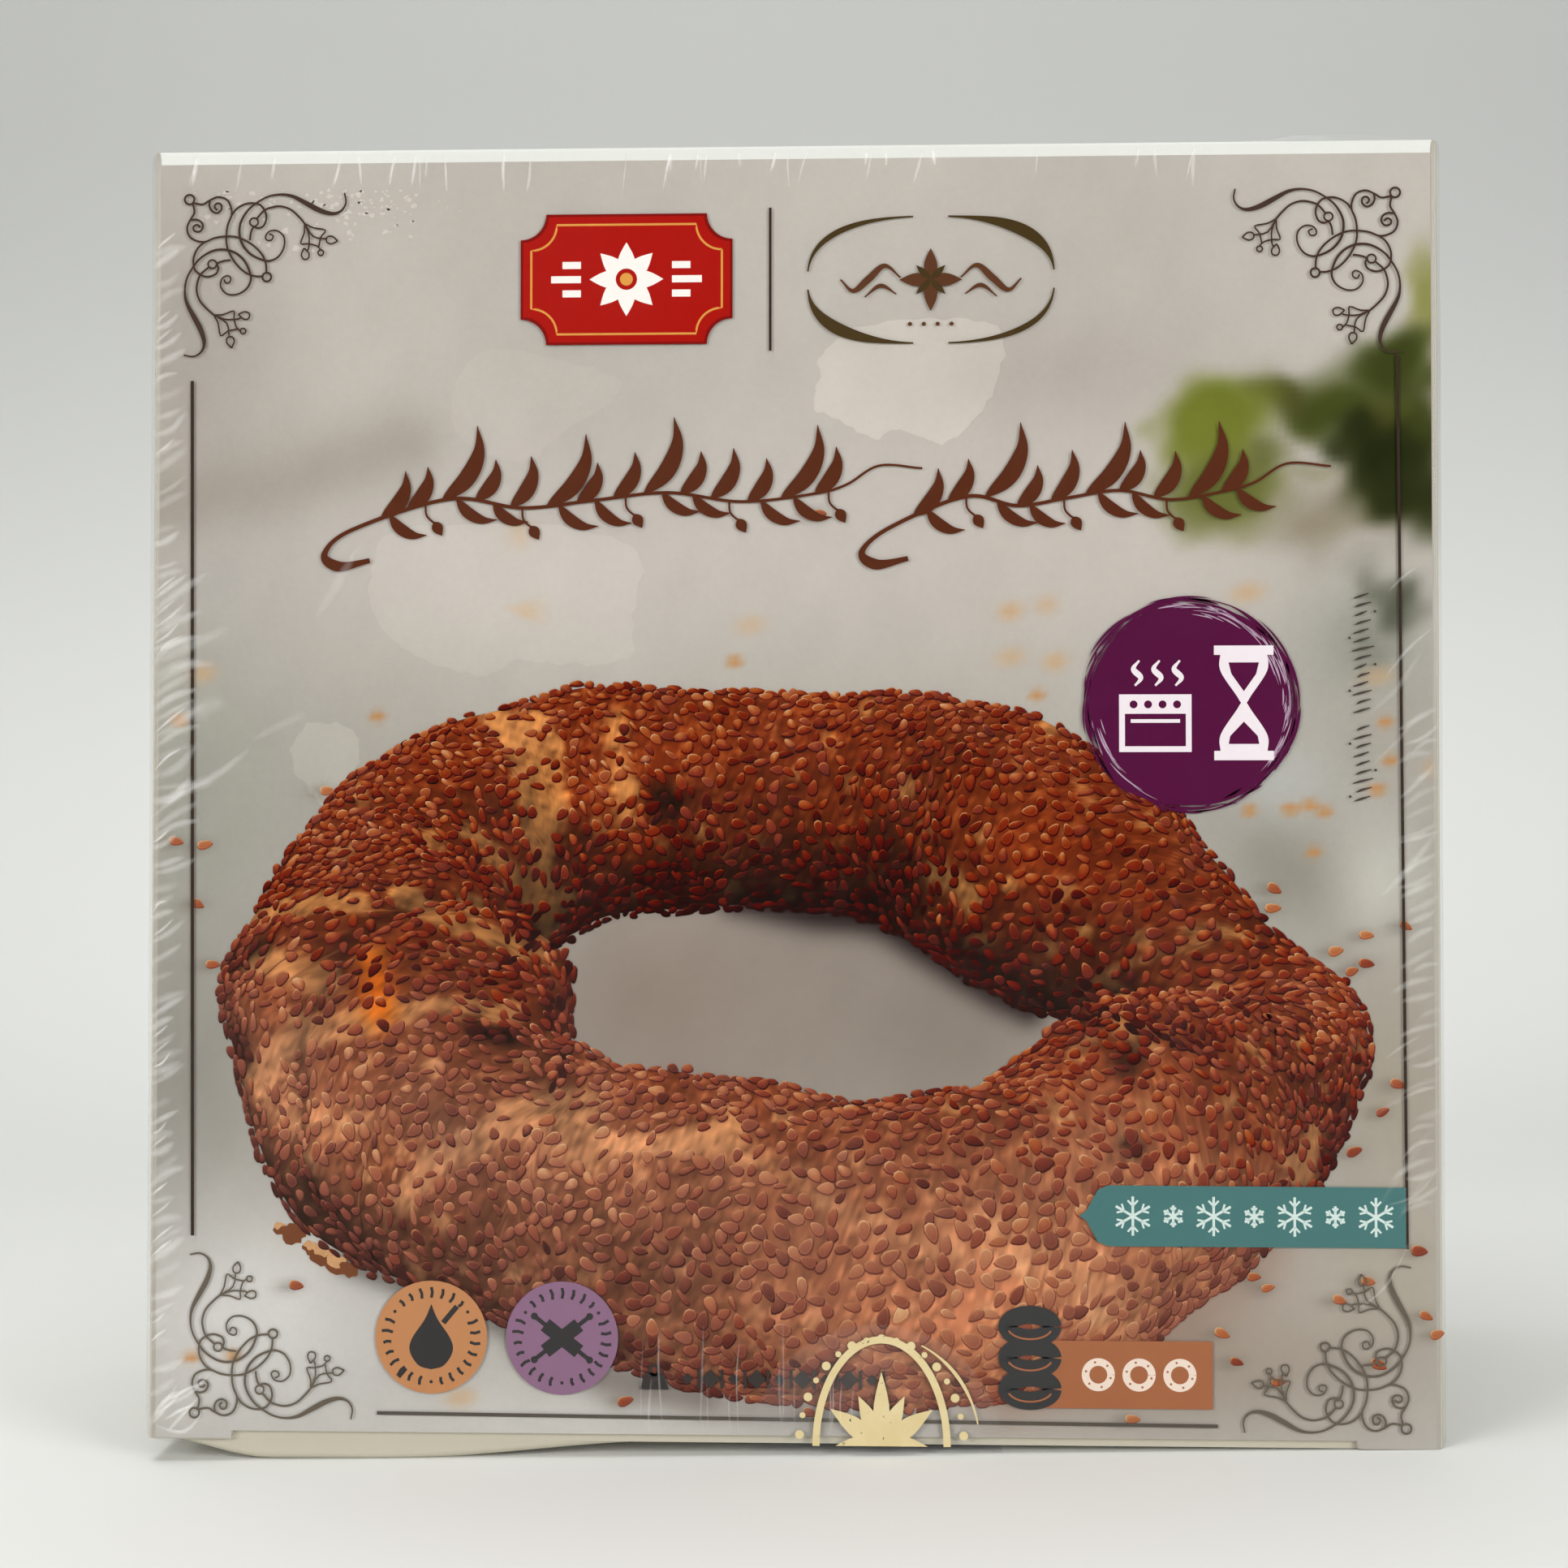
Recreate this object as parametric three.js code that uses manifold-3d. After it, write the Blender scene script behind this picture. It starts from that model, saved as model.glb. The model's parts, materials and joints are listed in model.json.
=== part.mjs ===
// A shut folding carton for frozen bread rings, shrink-wrapped and standing on its tucked end.
// Millimetres, +Z up, the front panel faces -Y. The origin is the middle of the bounding box, at the floor.
import * as THREE from "three";
import { mergeVertices } from "three/addons/utils/BufferGeometryUtils.js";
import Module from "manifold-3d";

// Driving dimensions of the carton
const WIDTH = 180;
const HEIGHT = 181;
const DEPTH = 75;
const BOARD = 0.6; // one thickness of board, with the film drawn tight over it
const FOLD_RADIUS = 1.1; // outside radius of a crease in the board
const TOP_FOLD_RADIUS = 1.8; // the crease over the top front edge is softer

// The two tucked ends: the flap goes in behind a panel whose edge is cut back between two ears
const EAR_WIDTH = 12;
const EAR_RADIUS = 0.9;
const RELIEF = 1.2; // how far the edge is cut back between the ears
const TOP_CROWN = 0.9; // the top end panel bows up by this much
const CROWN_FADE = 14; // towards its left and right ends the crown falls to a quarter of that
const END_INSET = 0.4; // the end panels stop this much short of the side panels' faces
const END_DEPTH = 3; // how deep the bowed end slabs reach into the carton's block
const BULGE = 3.0; // the bottom end panel bulges down by this much near its left end
const BULGE_FROM = -90;
const BULGE_RISE = 17;
const BULGE_FALL_FROM = -58;
const BULGE_FALL = 44;
const BULGE_BACK_FROM = 12; // depth from which the bulge fades towards the hinge at the back
const MIDDLE_DENT = 0.35; // the pressed-in stretch in the middle of the bottom edge
const DENT_FROM = -22;
const DENT_FALL = 20;
const DENT_BACK_FROM = 30;
const DENT_RISE = 36;
const FLAT_DEPTH = 0.12; // how much of the bulge's crest is pressed flat by the floor

// The clear round seal, folded over the bottom front edge
const SEAL_RADIUS = 17.5;
const SEAL_X = 12;
const SEAL_THICKNESS = 0.25;
const SEAL_GAP = 0.32; // between the seal and the board it is stuck to
const SEAL_SAG = 0.2; // how much lower its folded part hangs than that

// Grid of the bowed end panels
const COLUMNS = 48;
const ROWS = 16;

// The carton stands on the crest of the bulge and on its right edge, so it leans to the right
const CREST_X = -66;
const LEAN = Math.atan(BULGE / (WIDTH / 2 - CREST_X));

const FRONT = -DEPTH / 2;
const BACK = DEPTH / 2;
const RIGHT = WIDTH / 2;

const wasm = await Module();
wasm.setup();

// A closed three.js geometry as a manifold-3d solid
function solidOf(geometry) {
  const bare = geometry.index ? geometry.toNonIndexed() : geometry.clone();
  const positions = new THREE.BufferGeometry();
  positions.setAttribute("position", bare.getAttribute("position"));
  const merged = mergeVertices(positions, 1e-4);
  return new wasm.Manifold(
    new wasm.Mesh({
      numProp: 3,
      vertProperties: merged.attributes.position.array,
      triVerts: new Uint32Array(merged.index.array),
    }),
  );
}

// A manifold-3d solid as a named three.js mesh
function meshOf(solid, name, material) {
  const made = solid.getMesh();
  const geometry = new THREE.BufferGeometry();
  geometry.setAttribute("position", new THREE.BufferAttribute(new Float32Array(made.vertProperties), 3));
  geometry.setIndex(new THREE.BufferAttribute(new Uint32Array(made.triVerts), 1));
  geometry.computeVertexNormals();
  const mesh = new THREE.Mesh(geometry, material);
  mesh.name = name;
  return mesh;
}

// A smooth step from 0 at `from` to 1 at `from + length`
function ease(value, from, length) {
  const t = THREE.MathUtils.clamp((value - from) / length, 0, 1);
  return t * t * (3 - 2 * t);
}

// A rectangle's outline with one radius for each corner, counter-clockwise from the lowest corner
function roundedRectangle(x0, y0, x1, y1, radii) {
  const shape = new THREE.Shape();
  const [a, b, c, d] = radii;
  shape.moveTo(x0 + a, y0);
  shape.lineTo(x1 - b, y0);
  if (b > 0) shape.absarc(x1 - b, y0 + b, b, -Math.PI / 2, 0, false);
  shape.lineTo(x1, y1 - c);
  if (c > 0) shape.absarc(x1 - c, y1 - c, c, 0, Math.PI / 2, false);
  shape.lineTo(x0 + d, y1);
  if (d > 0) shape.absarc(x0 + d, y1 - d, d, Math.PI / 2, Math.PI, false);
  shape.lineTo(x0, y0 + a);
  if (a > 0) shape.absarc(x0 + a, y0 + a, a, Math.PI, Math.PI * 1.5, false);
  return shape;
}

// A closed slab between z = flat and the surface height(x, y), over a rectangle
function bowedSlab(x0, x1, y0, y1, flat, height) {
  const points = [];
  const at = (i, n, low, high) => low + ((high - low) * (1 - Math.cos((Math.PI * i) / n))) / 2;
  const low = (i, j) => {
    const x = x0 + ((x1 - x0) * i) / COLUMNS;
    const y = at(j, ROWS, y0, y1);
    return [x, y, height(x, y)];
  };
  const high = (i, j) => {
    const [x, y] = low(i, j);
    return [x, y, flat];
  };
  const quad = (a, b, c, d) => points.push(...a, ...b, ...c, ...a, ...c, ...d);
  for (let i = 0; i < COLUMNS; i++) {
    for (let j = 0; j < ROWS; j++) {
      quad(low(i, j), low(i, j + 1), low(i + 1, j + 1), low(i + 1, j));
      quad(high(i, j), high(i + 1, j), high(i + 1, j + 1), high(i, j + 1));
    }
    quad(low(i, 0), low(i + 1, 0), high(i + 1, 0), high(i, 0));
    quad(low(i + 1, ROWS), low(i, ROWS), high(i, ROWS), high(i + 1, ROWS));
  }
  for (let j = 0; j < ROWS; j++) {
    quad(low(0, j + 1), low(0, j), high(0, j), high(0, j + 1));
    quad(low(COLUMNS, j), low(COLUMNS, j + 1), high(COLUMNS, j + 1), high(COLUMNS, j));
  }
  const geometry = new THREE.BufferGeometry();
  geometry.setAttribute("position", new THREE.Float32BufferAttribute(points, 3));
  return geometry;
}

// How far the bottom end panel hangs below the carton's cut edges
function bottomBulge(x, y) {
  const along = ease(x, BULGE_FROM, BULGE_RISE) * (1 - ease(x, BULGE_FALL_FROM, BULGE_FALL));
  const dent = ease(x, DENT_FROM, DENT_FALL) * (1 - ease(x, DENT_BACK_FROM, DENT_RISE));
  const towardsHinge = 1 - ease(y, BULGE_BACK_FROM, BACK - FOLD_RADIUS - BULGE_BACK_FROM);
  const fold = FRONT + BOARD + FOLD_RADIUS - y;
  const into = THREE.MathUtils.clamp(fold, 0, FOLD_RADIUS);
  const rounding = FOLD_RADIUS - Math.sqrt(FOLD_RADIUS ** 2 - into ** 2);
  return (BULGE * along - MIDDLE_DENT * dent) * towardsHinge - rounding;
}

// How far the top end panel bows above the carton's cut edges
function topCrown(x, y) {
  const across = 1 - ((2 * y) / DEPTH) ** 2;
  const ends = ease(RIGHT - Math.abs(x), 0, CROWN_FADE);
  return TOP_CROWN * Math.max(across, 0) * (0.25 + 0.75 * ends);
}

// The four walls as one block: creased at the top front and the bottom back, cut square at the tucked edges
function walls() {
  const side = roundedRectangle(FRONT, 0, BACK, HEIGHT, [0, FOLD_RADIUS, 0, TOP_FOLD_RADIUS]);
  const across = new THREE.ExtrudeGeometry(side, { depth: WIDTH, bevelEnabled: false, curveSegments: 6 });
  const toRow = new THREE.Matrix4().set(0, 0, 1, -RIGHT, 1, 0, 0, 0, 0, 1, 0, 0, 0, 0, 0, 1);
  across.applyMatrix4(toRow);
  const plan = roundedRectangle(-RIGHT, FRONT, RIGHT, BACK, Array(4).fill(FOLD_RADIUS));
  const upright = new THREE.ExtrudeGeometry(plan, { depth: HEIGHT, bevelEnabled: false, curveSegments: 6 });
  return solidOf(across).intersect(solidOf(upright));
}

// What is cut from a tucked panel's edge between its ears, drawn in the panel's own plane with the edge at 0
function reliefCutter() {
  const half = RIGHT - EAR_WIDTH;
  const slot = new THREE.Shape();
  slot.moveTo(-half - EAR_RADIUS, -1);
  slot.lineTo(half + EAR_RADIUS, -1);
  slot.lineTo(half + EAR_RADIUS, 0);
  slot.absarc(half + EAR_RADIUS, EAR_RADIUS, EAR_RADIUS, -Math.PI / 2, -Math.PI, true);
  slot.lineTo(half, RELIEF);
  slot.lineTo(-half, RELIEF);
  slot.absarc(-half - EAR_RADIUS, EAR_RADIUS, EAR_RADIUS, 0, -Math.PI / 2, true);
  slot.lineTo(-half - EAR_RADIUS, -1);
  const cut = new THREE.ExtrudeGeometry(slot, { depth: BOARD + 1, bevelEnabled: false, curveSegments: 6 });
  return cut.rotateX(Math.PI / 2); // drawn upright, thick from y = 0 towards -Y
}

// The whole carton as one solid block, with its bowed ends and its two tucked edges
function cartonSolid() {
  const end = RIGHT - END_INSET;
  const underside = bowedSlab(
    -end, end, FRONT + BOARD, BACK - FOLD_RADIUS, END_DEPTH, (x, y) => -bottomBulge(x, y));
  const crown = bowedSlab(
    -end, end, -BACK + BOARD, -FRONT - TOP_FOLD_RADIUS, END_DEPTH, (x, y) => -topCrown(x, -y));
  crown.rotateX(Math.PI).translate(0, 0, HEIGHT);
  const bottomCut = reliefCutter().translate(0, FRONT + BOARD, 0);
  const topCut = reliefCutter().rotateX(Math.PI).translate(0, BACK - BOARD, HEIGHT);
  return walls()
    .add(solidOf(underside))
    .add(solidOf(crown))
    .subtract(solidOf(bottomCut))
    .subtract(solidOf(topCut));
}

// The seal: one half disc on the front panel and one under the bottom end panel, joined at the edge
function sealSolid() {
  const outer = FRONT - SEAL_GAP - SEAL_THICKNESS;
  const lowest = -SEAL_GAP - SEAL_THICKNESS - SEAL_SAG;
  const half = new THREE.Shape();
  half.absarc(0, 0, SEAL_RADIUS, 0, Math.PI, false);
  half.closePath();
  const options = { depth: SEAL_THICKNESS, bevelEnabled: false, curveSegments: 36 };
  const front = new THREE.ExtrudeGeometry(half, options).rotateX(Math.PI / 2);
  front.translate(SEAL_X, outer + SEAL_THICKNESS, lowest);
  const under = new THREE.ExtrudeGeometry(half, options).translate(SEAL_X, outer, lowest);
  return solidOf(front).add(solidOf(under));
}

const boardMaterial = new THREE.MeshStandardMaterial({ color: 0xcfc9c1, roughness: 0.42, metalness: 0 });
const sealMaterial = new THREE.MeshStandardMaterial({ color: 0xe0c384, roughness: 0.3, metalness: 0 });

// The floor's plane, seen from the carton's own frame, presses the bulge's crest flat
function pressedFlat(solid) {
  const thickness = 40;
  const floor = new THREE.BoxGeometry(3 * WIDTH, 3 * DEPTH, thickness).translate(0, 0, -thickness / 2);
  floor.rotateY(-LEAN).translate(0, 0, FLAT_DEPTH - RIGHT * Math.tan(LEAN));
  return solid.subtract(solidOf(floor));
}

const leaning = new THREE.Group();
leaning.add(meshOf(pressedFlat(cartonSolid()), "carton", boardMaterial));
leaning.add(meshOf(sealSolid(), "seal", sealMaterial));
leaning.rotation.y = LEAN;

const pack = new THREE.Group();
pack.add(leaning);
pack.updateMatrixWorld(true);
const bounds = new THREE.Box3().setFromObject(pack, true);
const middle = bounds.getCenter(new THREE.Vector3());
leaning.position.set(-middle.x, -middle.y, -bounds.min.z);

export default pack;
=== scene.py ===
"""Dresses a shut, shrink-wrapped carton of frozen bread rings for its portrait.

The carton is made upright in millimetres, in a frame of its own: x to the right, y to the back, z up from the
cut bottom edge of the front panel. Each finished piece is then moved to where the leaning carton stands.
"""

import json
import logging
import math
from dataclasses import dataclass, field
from enum import Enum
from functools import cache
from typing import Callable, Iterable, Sequence

import bmesh
import bpy
import numpy as np
from mathutils import Matrix, Vector

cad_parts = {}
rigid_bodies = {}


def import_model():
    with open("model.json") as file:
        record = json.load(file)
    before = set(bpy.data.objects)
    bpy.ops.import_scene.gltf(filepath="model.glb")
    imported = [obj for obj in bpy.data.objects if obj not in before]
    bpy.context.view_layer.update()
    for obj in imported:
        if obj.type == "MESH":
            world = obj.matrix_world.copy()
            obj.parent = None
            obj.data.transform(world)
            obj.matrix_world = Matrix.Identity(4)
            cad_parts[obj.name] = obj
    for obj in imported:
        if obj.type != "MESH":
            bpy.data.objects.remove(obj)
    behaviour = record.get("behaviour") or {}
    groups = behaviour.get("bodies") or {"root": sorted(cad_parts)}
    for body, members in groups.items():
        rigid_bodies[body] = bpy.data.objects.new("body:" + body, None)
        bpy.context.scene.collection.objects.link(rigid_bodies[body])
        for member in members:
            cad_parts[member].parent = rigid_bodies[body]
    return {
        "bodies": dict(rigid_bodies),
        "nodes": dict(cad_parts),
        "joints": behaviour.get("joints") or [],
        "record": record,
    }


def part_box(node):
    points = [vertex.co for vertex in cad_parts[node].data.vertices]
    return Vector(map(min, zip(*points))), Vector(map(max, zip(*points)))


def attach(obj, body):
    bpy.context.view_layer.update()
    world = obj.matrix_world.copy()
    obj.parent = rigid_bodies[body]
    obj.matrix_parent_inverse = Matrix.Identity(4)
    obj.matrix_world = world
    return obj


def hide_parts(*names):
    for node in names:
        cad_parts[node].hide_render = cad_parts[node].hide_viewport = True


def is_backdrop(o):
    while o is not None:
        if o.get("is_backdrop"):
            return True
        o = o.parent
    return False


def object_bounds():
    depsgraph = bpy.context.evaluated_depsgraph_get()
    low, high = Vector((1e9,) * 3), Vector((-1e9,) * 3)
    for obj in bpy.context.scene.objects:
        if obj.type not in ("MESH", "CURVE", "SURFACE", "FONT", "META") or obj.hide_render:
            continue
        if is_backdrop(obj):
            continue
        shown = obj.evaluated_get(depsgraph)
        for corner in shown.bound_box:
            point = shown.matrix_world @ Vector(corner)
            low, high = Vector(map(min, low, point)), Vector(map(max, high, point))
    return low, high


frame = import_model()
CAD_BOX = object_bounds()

MM = 0.001
TINY = 1e-9

log = logging.getLogger("carton")

Array = np.ndarray
Piece = bpy.types.Object
Material = bpy.types.Material
Socket = bpy.types.NodeSocket
Node = bpy.types.Node
Colour = tuple[float, float, float, float]
Triple = tuple[float, float, float]
Point = tuple[float, float]


# ---------------------------------------------------------------- sizes


@dataclass(frozen=True)
class CartonSize:
    """The carton's own sizes in millimetres, the same as in the part's source."""

    width: float = 180.0
    height: float = 181.0
    depth: float = 75.0
    board: float = 0.6
    fold: float = 1.1
    top_fold: float = 1.8
    ear: float = 12.0
    ear_radius: float = 0.9
    relief: float = 1.2
    crown: float = 0.9
    crown_fade: float = 14.0
    crown_at_ends: float = 0.25
    bulge: float = 3.0
    bulge_from: float = -90.0
    bulge_rise: float = 17.0
    bulge_fall_from: float = -58.0
    bulge_fall: float = 44.0
    bulge_back_from: float = 12.0
    dent: float = 0.35
    dent_from: float = -22.0
    dent_fall: float = 20.0
    dent_back_from: float = 30.0
    dent_rise: float = 36.0
    flat: float = 0.12
    crest: float = -66.0

    @property
    def front(self) -> float:
        """The front panel's plane."""
        return -self.depth / 2

    @property
    def back(self) -> float:
        """The back panel's plane."""
        return self.depth / 2

    @property
    def right(self) -> float:
        """The right side panel's plane."""
        return self.width / 2

    @property
    def lean(self) -> float:
        """The angle at which the carton leans to the right, because its bottom bulges at the left."""
        return math.atan(self.bulge / (self.right - self.crest))

    def bottom_bulge(self, x: Array, y: Array) -> Array:
        """Says how far the bottom end panel hangs below the carton's cut edges.

        Args:
            x: Places across the carton.
            y: Places from its front to its back.

        Returns:
            The drop at each place, in millimetres.
        """
        bulge = ease(x, self.bulge_from, self.bulge_rise)
        bulge = bulge * (1 - ease(x, self.bulge_fall_from, self.bulge_fall))
        dent = ease(x, self.dent_from, self.dent_fall) * (1 - ease(x, self.dent_back_from, self.dent_rise))
        to_hinge = self.back - self.fold - self.bulge_back_from
        return (self.bulge * bulge - self.dent * dent) * (1 - ease(y, self.bulge_back_from, to_hinge))

    def top_crown(self, x: Array, y: Array) -> Array:
        """Says how far the top end panel bows above the carton's cut edges.

        Args:
            x: Places across the carton.
            y: Places from its front to its back.

        Returns:
            The rise at each place, in millimetres.
        """
        across = np.maximum(1 - (2 * y / self.depth) ** 2, 0)
        ends = ease(self.right - np.abs(x), 0, self.crown_fade)
        return self.crown * across * (self.crown_at_ends + (1 - self.crown_at_ends) * ends)


def ease(value: Array, start: float, length: float) -> Array:
    """Steps smoothly from 0 at start to 1 at start + length."""
    t = np.clip((np.asarray(value, float) - start) / length, 0, 1)
    return t * t * (3 - 2 * t)


def linear(colour: Array) -> Array:
    """Turns screen colours from 0 to 255 into linear light from 0 to 1."""
    share = np.clip(np.asarray(colour, float) / 255, 0, 1)
    return np.where(share <= 0.04045, share / 12.92, ((share + 0.055) / 1.055) ** 2.4)


def shade(red: float, green: float, blue: float) -> Colour:
    """A paint colour given as on a screen, from 0 to 255 a channel."""
    r, g, b = linear(np.array([red, green, blue]))
    return (float(r), float(g), float(b), 1.0)


def blend(first: Sequence[float], second: Sequence[float], share: Array) -> Array:
    """Goes over from one colour, or column of colours, to another by a share."""
    return np.asarray(first) * (1 - share) + np.asarray(second) * share


class Ripples:
    """Smooth seeded unevenness: a sum of a few plane waves, between about -1 and 1."""

    def __init__(self, seed: int, length: float, waves: int = 7) -> None:
        """Draws the waves.

        Args:
            seed: The seed of the draw.
            length: The typical wavelength, in the units of the places asked for later.
            waves: How many waves are summed.
        """
        draw = np.random.default_rng(seed)
        angle = draw.uniform(0, 2 * math.pi, waves)
        pitch = 2 * math.pi / (length * draw.uniform(0.55, 1.7, waves))
        self.kx = np.cos(angle) * pitch
        self.ky = np.sin(angle) * pitch
        self.phase = draw.uniform(0, 2 * math.pi, waves)
        self.weight = draw.uniform(0.5, 1.0, waves)

    def at(self, x: Array, y: Array) -> Array:
        """Works the unevenness out.

        Args:
            x: Places along the first axis.
            y: Places along the second.

        Returns:
            The unevenness at each place.
        """
        x, y = np.broadcast_arrays(np.asarray(x, float), np.asarray(y, float))
        waves = np.sin(x[..., None] * self.kx + y[..., None] * self.ky + self.phase)
        return (waves * self.weight).sum(-1) / np.sqrt((self.weight**2).sum() * 1.4)


SIZE = CartonSize()


# ---------------------------------------------------------------- where things stand


class CartonStand:
    """Where the upright carton's frame stands in the row's frame."""

    def __init__(self, size: CartonSize) -> None:
        """Works the place out from the carton's solid.

        Args:
            size: The carton's sizes.
        """
        low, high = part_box("carton")
        lean = size.lean
        x = high.x - (size.right * math.cos(lean) + size.height * math.sin(lean)) * MM
        y = (low.y + high.y) / 2
        z = (size.right * math.tan(lean) - size.flat) * math.cos(lean) * MM
        self.lean = lean
        self.matrix = Matrix.Translation((x, y, z)) @ Matrix.Rotation(lean, 4, "Y")

    def put(self, piece: Piece) -> None:
        """Moves an upright piece, whose own transforms are applied, to where it stands."""
        piece.data.transform(self.matrix)
        piece.data.update()


STAND = CartonStand(SIZE)


class Panel(Enum):
    """A panel of the carton that print lies on."""

    FRONT = "front"
    BACK = "back"
    LEFT = "left"
    RIGHT = "right"
    TOP = "top"

    def lay(self, u: Array, v: Array, lift: Array) -> Array:
        """Lays flat places on the panel.

        Args:
            u: Millimetres to the right of the panel's middle, seen from outside.
            v: Millimetres up from the carton's cut bottom edge, or on the top, back from its front edge.
            lift: Millimetres off the panel.

        Returns:
            The places in the upright frame, in metres.
        """
        if self is Panel.FRONT:
            axes = (u, SIZE.front - lift, v)
        elif self is Panel.BACK:
            axes = (-u, SIZE.back + lift, v)
        elif self is Panel.RIGHT:
            axes = (SIZE.right + lift, u, v)
        elif self is Panel.LEFT:
            axes = (-SIZE.right - lift, -u, v)
        else:
            axes = (u, SIZE.front + v, SIZE.height + SIZE.top_crown(u, SIZE.front + v) + lift)
        return np.stack(np.broadcast_arrays(*axes), -1).astype(float) * MM


@dataclass(frozen=True)
class Lifts:
    """How far the layers of print lie off the board, in millimetres."""

    ground: float = 0.03
    # The print painted lighter for the film's sheen where it clings.
    cling_sheen: float = 0.045
    dough: float = 0.06
    crumbs: float = 0.062
    loose_seeds: float = 0.07
    seeds: float = 0.12
    top: float = 0.28
    rules: float = 0.295
    lines: float = 0.30
    title: float = 0.31
    labels: float = 0.315
    icons: float = 0.33
    stack: float = 0.34
    seal: float = 0.60


LIFT = Lifts()


# ---------------------------------------------------------------- shader building


class Wire:
    """A shader socket that Python's arithmetic works on."""

    def __init__(self, paint: "Paint", socket: Socket) -> None:
        """Wraps an output socket of one of the paint's nodes."""
        self.paint = paint
        self.socket = socket

    def _sum(self, operation: str, first: object, second: object) -> "Wire":
        """Adds a Math node for two wires or numbers and returns its result."""
        made = self.paint.node("ShaderNodeMath", {"operation": operation}, {0: first, 1: second})
        return Wire(self.paint, made.outputs[0])

    def __add__(self, other: object) -> "Wire":
        """Adds."""
        return self._sum("ADD", self, other)

    def __radd__(self, other: object) -> "Wire":
        """Adds, with the wire on the right."""
        return self._sum("ADD", other, self)

    def __sub__(self, other: object) -> "Wire":
        """Takes away."""
        return self._sum("SUBTRACT", self, other)

    def __rsub__(self, other: object) -> "Wire":
        """Takes away, with the wire on the right."""
        return self._sum("SUBTRACT", other, self)

    def __mul__(self, other: object) -> "Wire":
        """Multiplies."""
        return self._sum("MULTIPLY", self, other)

    def __rmul__(self, other: object) -> "Wire":
        """Multiplies, with the wire on the right."""
        return self._sum("MULTIPLY", other, self)

    def above(self, edge: float, soft: float) -> "Wire":
        """Steps smoothly from 0 to 1 across an edge.

        Args:
            edge: Where the edge lies.
            soft: How wide it is.

        Returns:
            The step.
        """
        settings = {"interpolation_type": "SMOOTHSTEP"}
        inputs = {"Value": self, "From Min": edge - soft / 2, "From Max": edge + soft / 2}
        return Wire(self.paint, self.paint.node("ShaderNodeMapRange", settings, inputs).outputs[0])


class Paint:
    """A material while its nodes are being put together."""

    def __init__(self, name: str) -> None:
        """Starts an empty material.

        Args:
            name: The material's name.
        """
        self.material = bpy.data.materials.new(name)
        self.material.use_nodes = True
        self.tree = self.material.node_tree
        self.tree.nodes.clear()

    def node(self, kind: str, settings: dict | None = None, inputs: dict | None = None) -> Node:
        """Adds one node.

        Args:
            kind: The node's type.
            settings: What is set on the node itself, first of all. "stops" is a ramp's (place, colour) pairs.
            inputs: Values, wires or sockets for its inputs, by name or number.

        Returns:
            The node.
        """
        made = self.tree.nodes.new(kind)
        for key, value in (settings or {}).items():
            if key == "stops":
                self._fill_ramp(made.color_ramp, value)
            else:
                setattr(made, key, value)
        for key, value in (inputs or {}).items():
            target = made.inputs[key]
            if isinstance(value, Wire):
                self.tree.links.new(value.socket, target)
            elif isinstance(value, Socket):
                self.tree.links.new(value, target)
            else:
                target.default_value = value
        return made

    @staticmethod
    def _fill_ramp(ramp: bpy.types.ColorRamp, stops: Sequence[tuple[float, Colour]]) -> None:
        """Gives a colour ramp its stops.

        Args:
            ramp: The ramp.
            stops: The place and the colour of each.
        """
        while len(ramp.elements) < len(stops):
            ramp.elements.new(1.0)
        for element, (place, colour) in zip(ramp.elements, stops, strict=True):
            element.position = place
            element.color = colour

    def upright(self) -> Socket:
        """Lays coordinates along the upright carton's own axes.

        Returns:
            The coordinates, in metres.
        """
        place = self.node("ShaderNodeTexCoord").outputs["Object"]
        back = STAND.matrix.inverted()
        inputs = {"Vector": place, "Location": back.to_translation(), "Rotation": (0, -STAND.lean, 0)}
        return self.node("ShaderNodeMapping", {"vector_type": "POINT"}, inputs).outputs[0]

    def noise(self, place: Socket, per_metre: float, detail: float) -> Wire:
        """Makes even noise between 0 and 1.

        Args:
            place: The coordinates it reads.
            per_metre: How many of its lumps lie along a metre.
            detail: Its octaves.

        Returns:
            The noise.
        """
        inputs = {"Vector": place, "Scale": per_metre, "Detail": detail}
        return Wire(self, self.node("ShaderNodeTexNoise", None, inputs).outputs[0])

    def mix(self, factor: object, first: object, second: object, mode: str = "MIX") -> Socket:
        """Mixes two colours."""
        settings = {"data_type": "RGBA", "blend_type": mode}
        return self.node("ShaderNodeMix", settings, {0: factor, 6: first, 7: second}).outputs[2]

    def toned(self, colour: object, tone: Wire) -> Socket:
        """Makes a colour lighter or darker by a tone about 1."""
        grey = self.node("ShaderNodeCombineColor", None, {0: tone, 1: tone, 2: tone}).outputs[0]
        return self.mix(1.0, colour, grey, "MULTIPLY")

    def relief(self, height: Wire, distance: float, strength: float) -> Socket:
        """A bump normal from a height, for relief of the given depth in metres."""
        inputs = {"Height": height, "Distance": distance, "Strength": strength}
        return self.node("ShaderNodeBump", None, inputs).outputs[0]

    def body(self, **inputs: object) -> Node:
        """Adds a Principled shader, whose inputs are named with low lines in place of spaces."""
        named = {key.replace("_", " "): value for key, value in inputs.items()}
        return self.node("ShaderNodeBsdfPrincipled", None, named)

    def veil(self, factor: Wire, under: Node, over: Node) -> Node:
        """Lays one shader over another as thickly as the factor says."""
        return self.node("ShaderNodeMixShader", None, {0: factor, 1: under.outputs[0], 2: over.outputs[0]})

    def surface(self, shader: Node) -> Material:
        """Wires the last shader to the material's output and hands the material over."""
        self.node("ShaderNodeOutputMaterial", None, {"Surface": shader.outputs[0]})
        return self.material


# ---------------------------------------------------------------- finishes


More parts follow.
